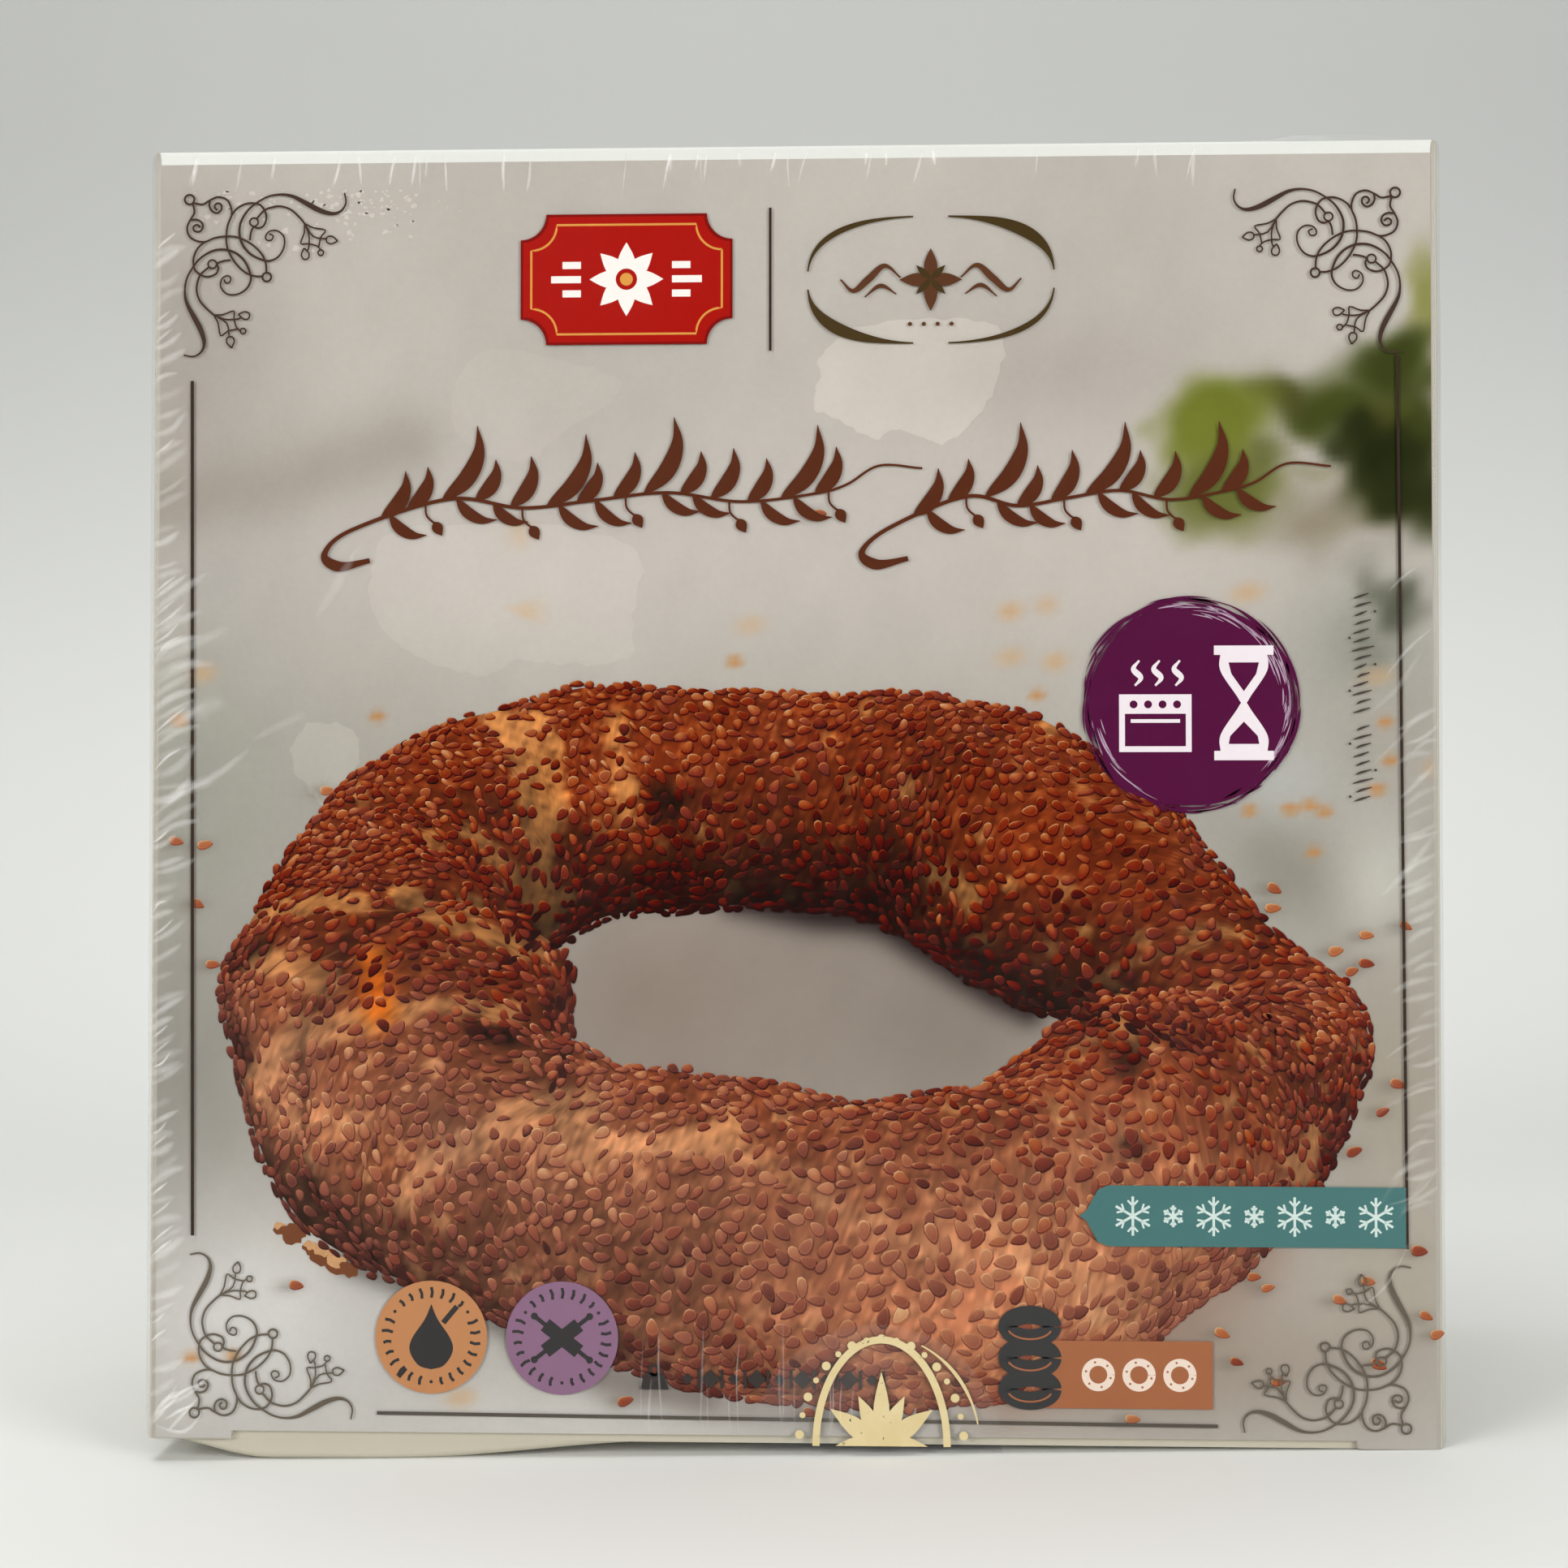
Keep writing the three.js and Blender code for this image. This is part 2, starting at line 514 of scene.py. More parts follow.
@dataclass(frozen=True)
class Finish:
    """A finish that makes its own material."""

    name: str

    @cache
    def make(self) -> Material:
        """Builds the material, once for every piece that has this finish."""
        paint = Paint(self.name)
        return paint.surface(self.shader(paint))

    def shader(self, paint: Paint) -> Node:
        """Puts the finish's shader together. Each finish has its own."""
        raise NotImplementedError


@dataclass(frozen=True)
class BoardFinish(Finish):
    """Coated folding board, with a faint grain and a slow drift in tone."""

    colour: Colour
    drift: float = 0.05
    roughness: float = 0.5
    clouds: float = 22.0
    grains: float = 1500.0

    def shader(self, paint: Paint) -> Node:
        """Puts the finish's shader together.

        Args:
            paint: The material.

        Returns:
            The shader.
        """
        place = paint.upright()
        slow = paint.noise(place, self.clouds, 3.0)
        grain = paint.noise(place, self.grains, 2.0)
        tone = (slow - 0.5) * (2 * self.drift) + (grain - 0.5) * 0.05 + 1.0
        return paint.body(
            Base_Color=paint.toned(self.colour, tone),
            Roughness=(grain - 0.5) * 0.12 + self.roughness,
            Specular_IOR_Level=0.35,
            Normal=paint.relief(grain + slow * 0.5, 0.00003, 0.5),
        )


@dataclass(frozen=True)
class GroundFinish(Finish):
    """The printed ground: a painted colour carried by the mesh, with the fine grain of coated board."""

    attribute: str
    grains: float = 900.0
    specks: float = 3200.0

    def shader(self, paint: Paint) -> Node:
        """Puts the finish's shader together.

        Args:
            paint: The material.

        Returns:
            The shader.
        """
        place = paint.upright()
        painted = paint.node("ShaderNodeAttribute", {"attribute_name": self.attribute}).outputs["Color"]
        grain = paint.noise(place, self.grains, 3.0)
        fine = paint.noise(place, self.specks, 1.0)
        return paint.body(
            Base_Color=paint.toned(painted, (grain - 0.5) * 0.09 + (fine - 0.5) * 0.06 + 1.0),
            Roughness=(grain - 0.5) * 0.1 + 0.55,
            Specular_IOR_Level=0.05,
            Normal=paint.relief(fine, 0.00002, 0.3),
        )


@dataclass(frozen=True)
class InkFinish(Finish):
    """Printing ink on the board: a slightly uneven coat of one colour."""

    colour: Colour
    unevenness: float = 0.14
    roughness: float = 0.45
    lumps: float = 420.0
    specks: float = 2600.0

    def shader(self, paint: Paint) -> Node:
        """Puts the finish's shader together.

        Args:
            paint: The material.

        Returns:
            The shader.
        """
        place = paint.upright()
        coat = paint.noise(place, self.lumps, 4.0)
        speck = paint.noise(place, self.specks, 1.0)
        return paint.body(
            Base_Color=paint.toned(
                self.colour, (coat - 0.5) * self.unevenness + (speck - 0.5) * self.unevenness + 1.0),
            Roughness=(coat - 0.5) * 0.2 + self.roughness,
            Specular_IOR_Level=0.1,
        )


@dataclass(frozen=True)
class CrustFinish(Finish):
    """The printed crust. Its map's first axis is the tone, its second the painted reflection of the floor in
    the film over the print.
    """

    map_name: str
    stops: tuple[float, ...] = (0.0, 0.22, 0.45, 0.66, 0.84, 1.0)
    deep: tuple[Triple, ...] = (
        (24, 3, 1), (79, 4, 0), (124, 34, 4), (165, 85, 34), (190, 134, 88), (216, 182, 140))
    # The second ramp is the crust dulled by a painted reflection of the floor in the film.
    reflected: tuple[Triple, ...] = (
        (60, 30, 24), (97, 51, 42), (142, 85, 65), (177, 120, 87), (202, 153, 112), (220, 184, 142))

    def shader(self, paint: Paint) -> Node:
        """Puts the finish's shader together.

        Args:
            paint: The material.

        Returns:
            The shader.
        """
        uv = paint.node("ShaderNodeUVMap", {"uv_map": self.map_name}).outputs[0]
        split = paint.node("ShaderNodeSeparateXYZ", None, {0: uv})
        tone, haze_and_reflection = Wire(paint, split.outputs[0]), Wire(paint, split.outputs[1])
        colours = []
        for tones in (self.deep, self.reflected):
            stops = [(stop, shade(*rgb)) for stop, rgb in zip(self.stops, tones, strict=True)]
            colours.append(paint.node("ShaderNodeValToRGB", {"stops": stops}, {0: tone}).outputs[0])
        return paint.body(
            Base_Color=paint.mix(haze_and_reflection, *colours), Roughness=tone * 0.1 + 0.5, Specular_IOR_Level=0.05)


@dataclass(frozen=True)
class FoilFinish(Finish):
    """Pale gold ink on clear film, worn thin in specks."""

    colour: Colour
    light: Colour = shade(232, 216, 170)
    specks: float = 1800.0
    strokes: float = 260.0

    def shader(self, paint: Paint) -> Node:
        """Puts the finish's shader together.

        Args:
            paint: The material.

        Returns:
            The shader.
        """
        place = paint.upright()
        worn = paint.noise(place, self.specks, 4.0)
        brushed = paint.noise(place, self.strokes, 2.0)
        gold = paint.body(
            Base_Color=paint.mix(brushed, self.colour, self.light),
            Metallic=0.1,
            Roughness=brushed * 0.15 + 0.32,
            Normal=paint.relief(worn, 0.00003, 0.6),
        )
        return paint.veil(worn.above(0.29, 0.04), paint.node("ShaderNodeBsdfTransparent"), gold)


@dataclass(frozen=True)
class FilmFinish(Finish):
    """Clear film: mostly let through, with its gloss and a faint whitish cloudiness."""

    gloss: float
    haze_and_reflection: float
    patchy: float
    roughness: float = 0.08
    milk: Colour = shade(240, 238, 234)
    clouds: float = 45.0

    def shader(self, paint: Paint) -> Node:
        """Puts the finish's shader together.

        Args:
            paint: The material.

        Returns:
            The shader.
        """
        fresnel = Wire(paint, paint.node("ShaderNodeFresnel", None, {"IOR": 1.5}).outputs[0])
        cloud = paint.noise(paint.upright(), self.clouds, 3.0).above(0.55, 0.3)
        milk = paint.node("ShaderNodeBsdfDiffuse", None, {"Color": self.milk})
        veiled = paint.veil(cloud * self.patchy + self.haze_and_reflection, paint.node("ShaderNodeBsdfTransparent"), milk)
        shine = paint.node("ShaderNodeBsdfGlossy", None, {"Roughness": self.roughness})
        return paint.veil(fresnel * self.gloss, veiled, shine)


@dataclass(frozen=True)
class PleatWhiteAndHighlightFinish(Finish):
    """Pleated film, as white as an attribute of the mesh says: whitening of the film with painted highlights
    along the pleats.
    """

    attribute: str
    milk: Colour = shade(250, 249, 246)
    streaks: float = 700.0

    def shader(self, paint: Paint) -> Node:
        """Puts the finish's shader together.

        Args:
            paint: The material.

        Returns:
            The shader.
        """
        carried = paint.node("ShaderNodeAttribute", {"attribute_name": self.attribute}).outputs["Fac"]
        streaks = paint.noise(paint.upright(), self.streaks, 3.0) * 0.7 + 0.65
        # The white is partly the pleats' whitening and partly a painted highlight.
        milk = paint.node("ShaderNodeBsdfDiffuse", None, {"Color": self.milk})
        return paint.veil(Wire(paint, carried) * streaks, paint.node("ShaderNodeBsdfTransparent"), milk)


@dataclass(frozen=True)
class StudioFinish(Finish):
    """Matt studio paper under and behind the carton, with painted shade that darkens it towards its top."""

    colour: Colour
    painted_shade_top: Colour

    def shader(self, paint: Paint) -> Node:
        """Puts the finish's shader together.

        Args:
            paint: The material.

        Returns:
            The shader.
        """
        place = paint.node("ShaderNodeTexCoord").outputs["Object"]
        cloud = paint.noise(place, 6.0, 2.0)
        height = paint.node("ShaderNodeSeparateXYZ", None, {0: place}).outputs[2]
        # Painted shade: the paper goes over to the darker top colour with height.
        paper = paint.mix(Wire(paint, height).above(0.22, 0.5), self.colour, self.painted_shade_top)
        colour = paint.toned(paper, (cloud - 0.5) * 0.03 + 1.0)
        return paint.node("ShaderNodeBsdfDiffuse", None, {"Color": colour})


# ---------------------------------------------------------------- the bench


class Primitive(Enum):
    """The primitives that pieces are started from."""

    CUBE = "primitive_cube_add"
    PLANE = "primitive_plane_add"
    GRID = "primitive_grid_add"


class Select(Enum):
    """What is selected in edit mode."""

    EDGES = "EDGE"
    FACES = "FACE"


class Slot(Enum):
    """The record's material slots."""

    BOARD = "printed_board"
    SEAL = "seal_film"
    INK = "print_ink"
    FILM = "shrink_film"


class Bench:
    """The modelling bench, where pieces are started, worked on in edit mode and finished."""

    @staticmethod
    def clear() -> None:
        """Leaves edit mode and deselects everything."""
        if bpy.context.mode != "OBJECT":
            bpy.ops.object.mode_set(mode="OBJECT")
        bpy.ops.object.select_all(action="DESELECT")

    @staticmethod
    def take(piece: Piece) -> None:
        """Takes one piece in hand, selected alone and active.

        Args:
            piece: The piece.
        """
        Bench.clear()
        piece.select_set(True)
        bpy.context.view_layer.objects.active = piece

    @staticmethod
    def start(kind: Primitive, name: str, **options: object) -> Piece:
        """Adds a primitive as the start of a piece.

        Args:
            kind: Which primitive.
            name: The piece's name.
            options: The operator's own options.

        Returns:
            The new object, active and selected.
        """
        Bench.clear()
        getattr(bpy.ops.mesh, kind.value)(**options)
        piece = bpy.context.active_object
        piece.name = name
        piece.data.name = name
        return piece

    @staticmethod
    def from_mesh(name: str, points: Array, faces: Iterable[Sequence[int]]) -> Piece:
        """Makes a piece straight from its points and faces.

        Args:
            name: The piece's name.
            points: Its points, one to a row.
            faces: The numbers of each face's points.

        Returns:
            The piece.
        """
        Bench.clear()
        mesh = bpy.data.meshes.new(name)
        mesh.from_pydata([tuple(p) for p in points], [], [tuple(f) for f in faces])
        mesh.update()
        piece = bpy.data.objects.new(name, mesh)
        bpy.context.scene.collection.objects.link(piece)
        return piece

    @staticmethod
    def edit(piece: Piece) -> None:
        """Goes into edit mode on a piece with all of it selected.

        Args:
            piece: The piece.
        """
        Bench.take(piece)
        bpy.ops.object.mode_set(mode="EDIT")
        bpy.ops.mesh.select_all(action="SELECT")

    @staticmethod
    def pick(piece: Piece, kind: Select, keep: Callable[[object], bool]) -> None:
        """In edit mode, selects only the edges or faces for which keep is true.

        Args:
            piece: The object in edit mode.
            kind: Edges or faces.
            keep: The test, which gets a bmesh edge or face.
        """
        bpy.ops.mesh.select_mode(type=kind.value)
        bpy.ops.mesh.select_all(action="DESELECT")
        shape = bmesh.from_edit_mesh(piece.data)
        for element in shape.edges if kind is Select.EDGES else shape.faces:
            if keep(element):
                element.select_set(True)
        shape.select_flush_mode()
        bmesh.update_edit_mesh(piece.data)

    @staticmethod
    def bevel(radius: float, segments: int) -> None:
        """Rounds the edges that are selected to a radius in millimetres."""
        bpy.ops.mesh.bevel(offset=radius * MM, segments=segments, affect="EDGES")

    @staticmethod
    def bend(piece: Piece, shape: Callable[[Array], Array]) -> None:
        """Moves a piece's points.

        Args:
            piece: The piece.
            shape: Gives the new places for the old ones, one to a row.
        """
        flat = np.empty(len(piece.data.vertices) * 3)
        piece.data.vertices.foreach_get("co", flat)
        piece.data.vertices.foreach_set("co", shape(flat.reshape(-1, 3)).ravel())
        piece.data.update()

    @staticmethod
    def modify(piece: Piece, kind: str, **settings: object) -> None:
        """Adds a modifier to a piece and applies it.

        Args:
            piece: The piece.
            kind: The modifier's type.
            settings: What is set on it.
        """
        Bench.take(piece)
        modifier = piece.modifiers.new(kind.title(), kind)
        for key, value in settings.items():
            setattr(modifier, key, value)
        bpy.ops.object.modifier_apply(modifier=modifier.name)

    @staticmethod
    def tint(piece: Piece, attribute: str, colours: Array) -> None:
        """Gives a piece's points linear colours, one to a row, in an attribute of that name."""
        layer = piece.data.color_attributes.new(attribute, "FLOAT_COLOR", "POINT")
        layer.data.foreach_set("color", np.column_stack([colours, np.ones(len(colours))]).ravel())

    @staticmethod
    def press_flat(piece: Piece, gap: float) -> None:
        """Presses what would reach below the surface that the carton stands on up to it.

        Args:
            piece: The finished piece.
            gap: How far above that surface it stays, in millimetres.
        """
        for vertex in piece.data.vertices:
            vertex.co.z = max(vertex.co.z, gap * MM)
        piece.data.update()

    @staticmethod
    def finish(
        piece: Piece,
        slot: Slot,
        finishes: Sequence[Material],
        smooth: float | None = None,
        wear: Callable[[bpy.types.MeshPolygon], int] | None = None,
    ) -> Piece:
        """Finishes a piece: its transforms, materials, shading, place and ride.

        Args:
            piece: The upright piece, in metres.
            slot: The record's slot of its surface, which only decides whether it casts shadows: film casts
                none.
            finishes: Its materials.
            smooth: The angle in degrees up to which its shading is smooth, or None for flat faces.
            wear: Says for a face which of the materials it wears.

        Returns:
            The piece.
        """
        Bench.take(piece)
        bpy.ops.object.transform_apply(location=True, rotation=True, scale=True)
        if smooth is not None:
            bpy.ops.object.shade_smooth_by_angle(angle=math.radians(smooth))
        piece.data.materials.clear()
        for material in finishes:
            piece.data.materials.append(material)
        if wear is not None:
            for face in piece.data.polygons:
                face.material_index = wear(face)
        STAND.put(piece)
        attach(piece, "root")
        piece.visible_shadow = slot is not Slot.FILM
        log.info("%s: %d faces", piece.name, len(piece.data.polygons))
        return piece


def grid_faces(rows: int, columns: int, closed: bool = False) -> list[list[int]]:
    """Joins points that run row by row into four-sided faces.

    Args:
        rows: How many rows of points there are.
        columns: How many points a row has.
        closed: Whether the last row is joined to the first.

    Returns:
        The numbers of each face's points.
    """
    row, column = np.meshgrid(np.arange(rows if closed else rows - 1), np.arange(columns - 1), indexing="ij")
    low, high = row * columns + column, (row + 1) % rows * columns + column
    return np.stack([low, low + 1, high + 1, high], -1).reshape(-1, 4).tolist()


# ---------------------------------------------------------------- the board


@dataclass
class CartonBody:
    """The folded board: the walls in one piece and the two end panels that are tucked in."""

    size: CartonSize = SIZE
    dust_inset: float = 2.0
    end_inset: float = 0.4
    tuck_length: float = 6.0
    tuck_gap: float = 0.02
    foot_gap: float = 0.03
    columns: int = 96
    rows: int = 30
    long_edge: float = 0.1
    end_area: float = 0.005
    board: BoardFinish = BoardFinish("printed_ground_board", shade(168, 162, 151))
    white: BoardFinish = BoardFinish("white_coated_board", shade(221, 222, 216), 0.02)
    raw: BoardFinish = BoardFinish("unprinted_board", shade(194, 188, 170), 0.06, 0.7)
    pieces: list[Piece] = field(default_factory=list)

    def build(self) -> None:
        """Builds the walls and the end panels."""
        board, white, raw = self.board.make(), self.white.make(), self.raw.make()
        self.pieces = [self._walls(board, white, raw), self._bottom_end(raw), self._top_end(white)]
        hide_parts("carton")

    def _walls(self, *finishes: Material) -> Piece:
        """Makes the four walls with their creases, cut edges and the two relief slots.

        Args:
            finishes: The printed, the white and the unprinted board.

        Returns:
            The walls.
        """
        s = self.size
        walls = Bench.start(Primitive.CUBE, "carton_walls", size=1.0, location=(0, 0, s.height / 2 * MM))
        Bench.edit(walls)
        bpy.ops.transform.resize(value=(s.width * MM, s.depth * MM, s.height * MM))
        Bench.pick(walls, Select.EDGES, lambda e: abs(e.verts[0].co.z - e.verts[1].co.z) > self.long_edge)
        Bench.bevel(s.fold, 5)
        Bench.pick(walls, Select.EDGES, lambda e: self._lies_along(e, True, False))
        Bench.bevel(s.top_fold, 8)
        Bench.pick(walls, Select.EDGES, lambda e: self._lies_along(e, False, True))
        Bench.bevel(s.fold, 5)
        bpy.ops.mesh.normals_make_consistent(inside=False)
        Bench.clear()
        for upside_down in (False, True):
            self._cut_relief(walls, upside_down)
        Bench.edit(walls)
        for up in (1, -1):
            Bench.pick(
                walls, Select.FACES,
                lambda f, up=up: f.normal.z * up > 0.99 and f.calc_area() > self.end_area)
            bpy.ops.mesh.inset(thickness=s.board * MM)
            bpy.ops.transform.translate(value=(0, 0, -up * self.dust_inset * MM))
        Bench.clear()
        Bench.finish(walls, Slot.BOARD, finishes, 40.0, self._wear)
        Bench.press_flat(walls, self.foot_gap)
        return walls

    def _lies_along(self, edge: bmesh.types.BMEdge, top: bool, back: bool) -> bool:
        """Finds a long edge of the front or back wall.

        Args:
            edge: An edge of the walls while they are centred.
            top: Whether the top edge is looked for, and not the bottom edge.
            back: Whether it is looked for at the back, and not in front.

        Returns:
            Whether the edge is the one.
        """
        near = 0.2 * MM
        middle = (edge.verts[0].co + edge.verts[1].co) / 2
        level = self.size.height / 2 * (MM if top else -MM)
        side = (self.size.back if back else self.size.front) * MM
        long = abs(edge.verts[0].co.x - edge.verts[1].co.x) > self.long_edge
        return long and abs(middle.z - level) < near and abs(middle.y - side) < near

    def _wear(self, face: bpy.types.MeshPolygon) -> int:
        """Chooses a face's board: printed outside, white over the top crease, unprinted where it is cut.

        Args:
            face: A face of the upright walls.

        Returns:
            The number of its finish.
        """
        s = self.size
        y, z, normal = face.center.y / MM, face.center.z / MM, face.normal
        if z > s.height - s.top_fold - 0.05 and normal.y < 0.2 and y < 0:
            return 1
        in_slot = s.board * 0.5 < s.back - abs(y) and abs(normal.y) > 0.5
        return 2 if in_slot or abs(normal.z) > 0.9 else 0

    def _cut_relief(self, walls: Piece, upside_down: bool) -> None:
        """Cuts the slot between the ears of a tucked edge.

        Args:
            walls: The walls.
            upside_down: Whether it is the slot at the back top, and not the one at the front bottom.
        """
        s = self.size
        past = 1.0
        half, radius = s.width / 2 - s.ear, s.ear_radius
        corner = arc((half + radius, radius), (radius, radius), (-90, -180), 6)
        outline = [(half + radius, -past), *corner, (half, s.relief)]
        outline += [(-x, z) for x, z in reversed(outline)]
        points = [(x * MM, (s.front - past) * MM, z * MM) for x, z in outline]
        cutter = Bench.from_mesh("relief_cutter", np.array(points), [range(len(points))])
        Bench.edit(cutter)
        bpy.ops.mesh.extrude_region_move(TRANSFORM_OT_translate={"value": (0, (s.board + past) * MM, 0)})
        bpy.ops.mesh.select_all(action="SELECT")
        bpy.ops.mesh.normals_make_consistent(inside=False)
        Bench.clear()
        if upside_down:
            half_turn = Matrix.Rotation(math.pi, 4, "X")
            cutter.data.transform(Matrix.Translation((0, 0, s.height * MM)) @ half_turn)
        Bench.modify(walls, "BOOLEAN", operation="DIFFERENCE", object=cutter, solver="EXACT")
        bpy.data.objects.remove(cutter)

    def _bent_end(self, name: str, path: Array, rise: Callable[[Array, Array], Array]) -> Piece:
        """Bends an end panel with its tuck flap.

        Args:
            name: The piece's name.
            path: Its section as (y, z) points from the tucked end to the hinge, in millimetres.
            rise: Gives the height to add at places (x, y).

        Returns:
            The piece.
        """
        steps = len(path) - 1
        sheet = Bench.start(Primitive.GRID, name, x_subdivisions=self.columns, y_subdivisions=steps, size=2.0)

        def shape(flat: Array) -> Array:
            """Lays the flat grid along the path.

            Args:
                flat: The places of its points.

            Returns:
                Their new places.
            """
            x = flat[:, 0] * (self.size.right - self.end_inset)
            y, z = path[np.rint((flat[:, 1] + 1) / 2 * steps).astype(int)].T
            return np.stack([x, y, z + rise(x, y)], 1) * MM

        Bench.bend(sheet, shape)
        Bench.modify(sheet, "SOLIDIFY", thickness=-self.size.board * MM, offset=-1.0, use_even_offset=False)
        return sheet

    def _bottom_end(self, raw: Material) -> Piece:
        """Makes the bottom end panel, which bulges below the cut edge, with its flap behind the front panel.

        Args:
            raw: The unprinted board.

        Returns:
            The panel.
        """
        s = self.size
        front, fold = s.front + s.board + self.tuck_gap, s.fold
        bend = arc((front + fold, fold), (fold, fold), (180, 270), 9)
        depths = np.linspace(front + fold + 1.0, s.back - fold, self.rows)
        path = np.array([(front, fold + self.tuck_length), *bend, *[(y, 0.0) for y in depths]])
        sheet = self._bent_end("bottom_end_panel", path, lambda x, y: -s.bottom_bulge(x, y))
        Bench.finish(sheet, Slot.BOARD, [raw], 50.0)
        Bench.press_flat(sheet, self.foot_gap)
        return sheet

    def _top_end(self, white: Material) -> Piece:
        """Makes the top end panel, slightly crowned, with its flap behind the back panel.

        Args:
            white: The white board.

        Returns:
            The panel.
        """
        s = self.size
        back, fold = s.back - s.board - self.tuck_gap, s.fold
        bend = arc((back - fold, s.height - fold), (fold, fold), (0, 90), 9)
        depths = np.linspace(back - fold - 1.0, s.front + s.top_fold, self.rows)
        path = np.array([(back, s.height - fold - self.tuck_length), *bend, *[(y, s.height) for y in depths]])
        sheet = self._bent_end("top_end_panel", path, s.top_crown)
        return Bench.finish(sheet, Slot.BOARD, [white], 50.0)


# ---------------------------------------------------------------- drawing


def spline(points: Sequence[Point], steps: int = 8, closed: bool = False) -> Array:
    """Draws a smooth line through points.

    Args:
        points: The points it goes through.
        steps: How many pieces each stretch is drawn in.
        closed: Whether it comes back to its start.

    Returns:
        The line's points, one to a row.
    """
    knots = np.array(points, float)
    if closed:
        knots = np.concatenate([knots[-1:], knots, knots[:2]])
    else:
        knots = np.concatenate([2 * knots[:1] - knots[1:2], knots, 2 * knots[-1:] - knots[-2:-1]])
    t = np.linspace(0, 1, steps, endpoint=False)[:, None]
    line = []
    for a, b, c, d in zip(knots, knots[1:], knots[2:], knots[3:]):
        cubic = 2 * b + (c - a) * t + (2 * a - 5 * b + 4 * c - d) * t**2 + (3 * b - a - 3 * c + d) * t**3
        line.append(cubic / 2)
    if not closed:
        line.append(knots[-2:-1])
    return np.concatenate(line)


def arc(middle: Point, radii: Point, degrees: Point, steps: int = 24) -> Array:
    """Draws an arc or a spiral.

    Args:
        middle: Its centre.
        radii: Its radius at the start and at the end.
        degrees: Its angle at the start and at the end.
        steps: How many pieces it is drawn in.

    Returns:
        The line's points, one to a row.
    """
    t = np.linspace(0, 1, steps + 1)
    radius = radii[0] + (radii[1] - radii[0]) * t
    angle = np.radians(degrees[0] + (degrees[1] - degrees[0]) * t)
    return np.stack([middle[0] + radius * np.cos(angle), middle[1] + radius * np.sin(angle)], 1)


def swelling(count: int, thin: float, thick: float, power: float = 2.0) -> Array:
    """Widths of a stroke that swells towards its middle."""
    return thin + (thick - thin) * np.sin(np.linspace(0, math.pi, count)) ** power


def hump(along: Array, peak: float, reach: float) -> Array:
    """A soft hump between 0 and 1 about a peak."""
    return np.exp(-(((along - peak) / reach) ** 2))


def turned(shape: Sequence[Point], degrees: float, middle: Point = (0, 0)) -> Array:
    """Turns a shape about the origin and moves it to its middle.

    Args:
        shape: Its points.
        degrees: How far it is turned, counterclockwise.
        middle: Where the origin goes.

    Returns:
        The points, one to a row.
    """
    angle = math.radians(degrees)
    spin = np.array([[math.cos(angle), math.sin(angle)], [-math.sin(angle), math.cos(angle)]])
    return np.asarray(shape, float) @ spin + middle


def spoke(middle: Point, degrees: float, reach: float) -> Array:
    """The point at that reach from a middle, turned from straight up."""
    return turned([(0, reach)], degrees, middle)[0]


def petal(length: float, width: float) -> Array:
    """Draws a pointed leaf from the origin upwards.

    Args:
        length: Its length.
        width: Its greatest width.

    Returns:
        Its outline.
    """
    t = np.linspace(0, 1, 8)
    half = width / 2 * np.sin(math.pi * t**0.8)
    right = np.stack([half, length * t], 1)
    return np.concatenate([right, (right * (-1, 1))[-2:0:-1]])


def ways(line: Array) -> Array:
    """The unit direction of a line at each of its points."""
    way = np.gradient(line, axis=0)
    return way / (np.linalg.norm(way, axis=1, keepdims=True) + TINY)


def is_clockwise(outline: Array) -> bool:
    """Whether an outline runs clockwise."""
    x, y = outline.T
    return bool((x * np.roll(y, -1) - y * np.roll(x, -1)).sum() < 0)


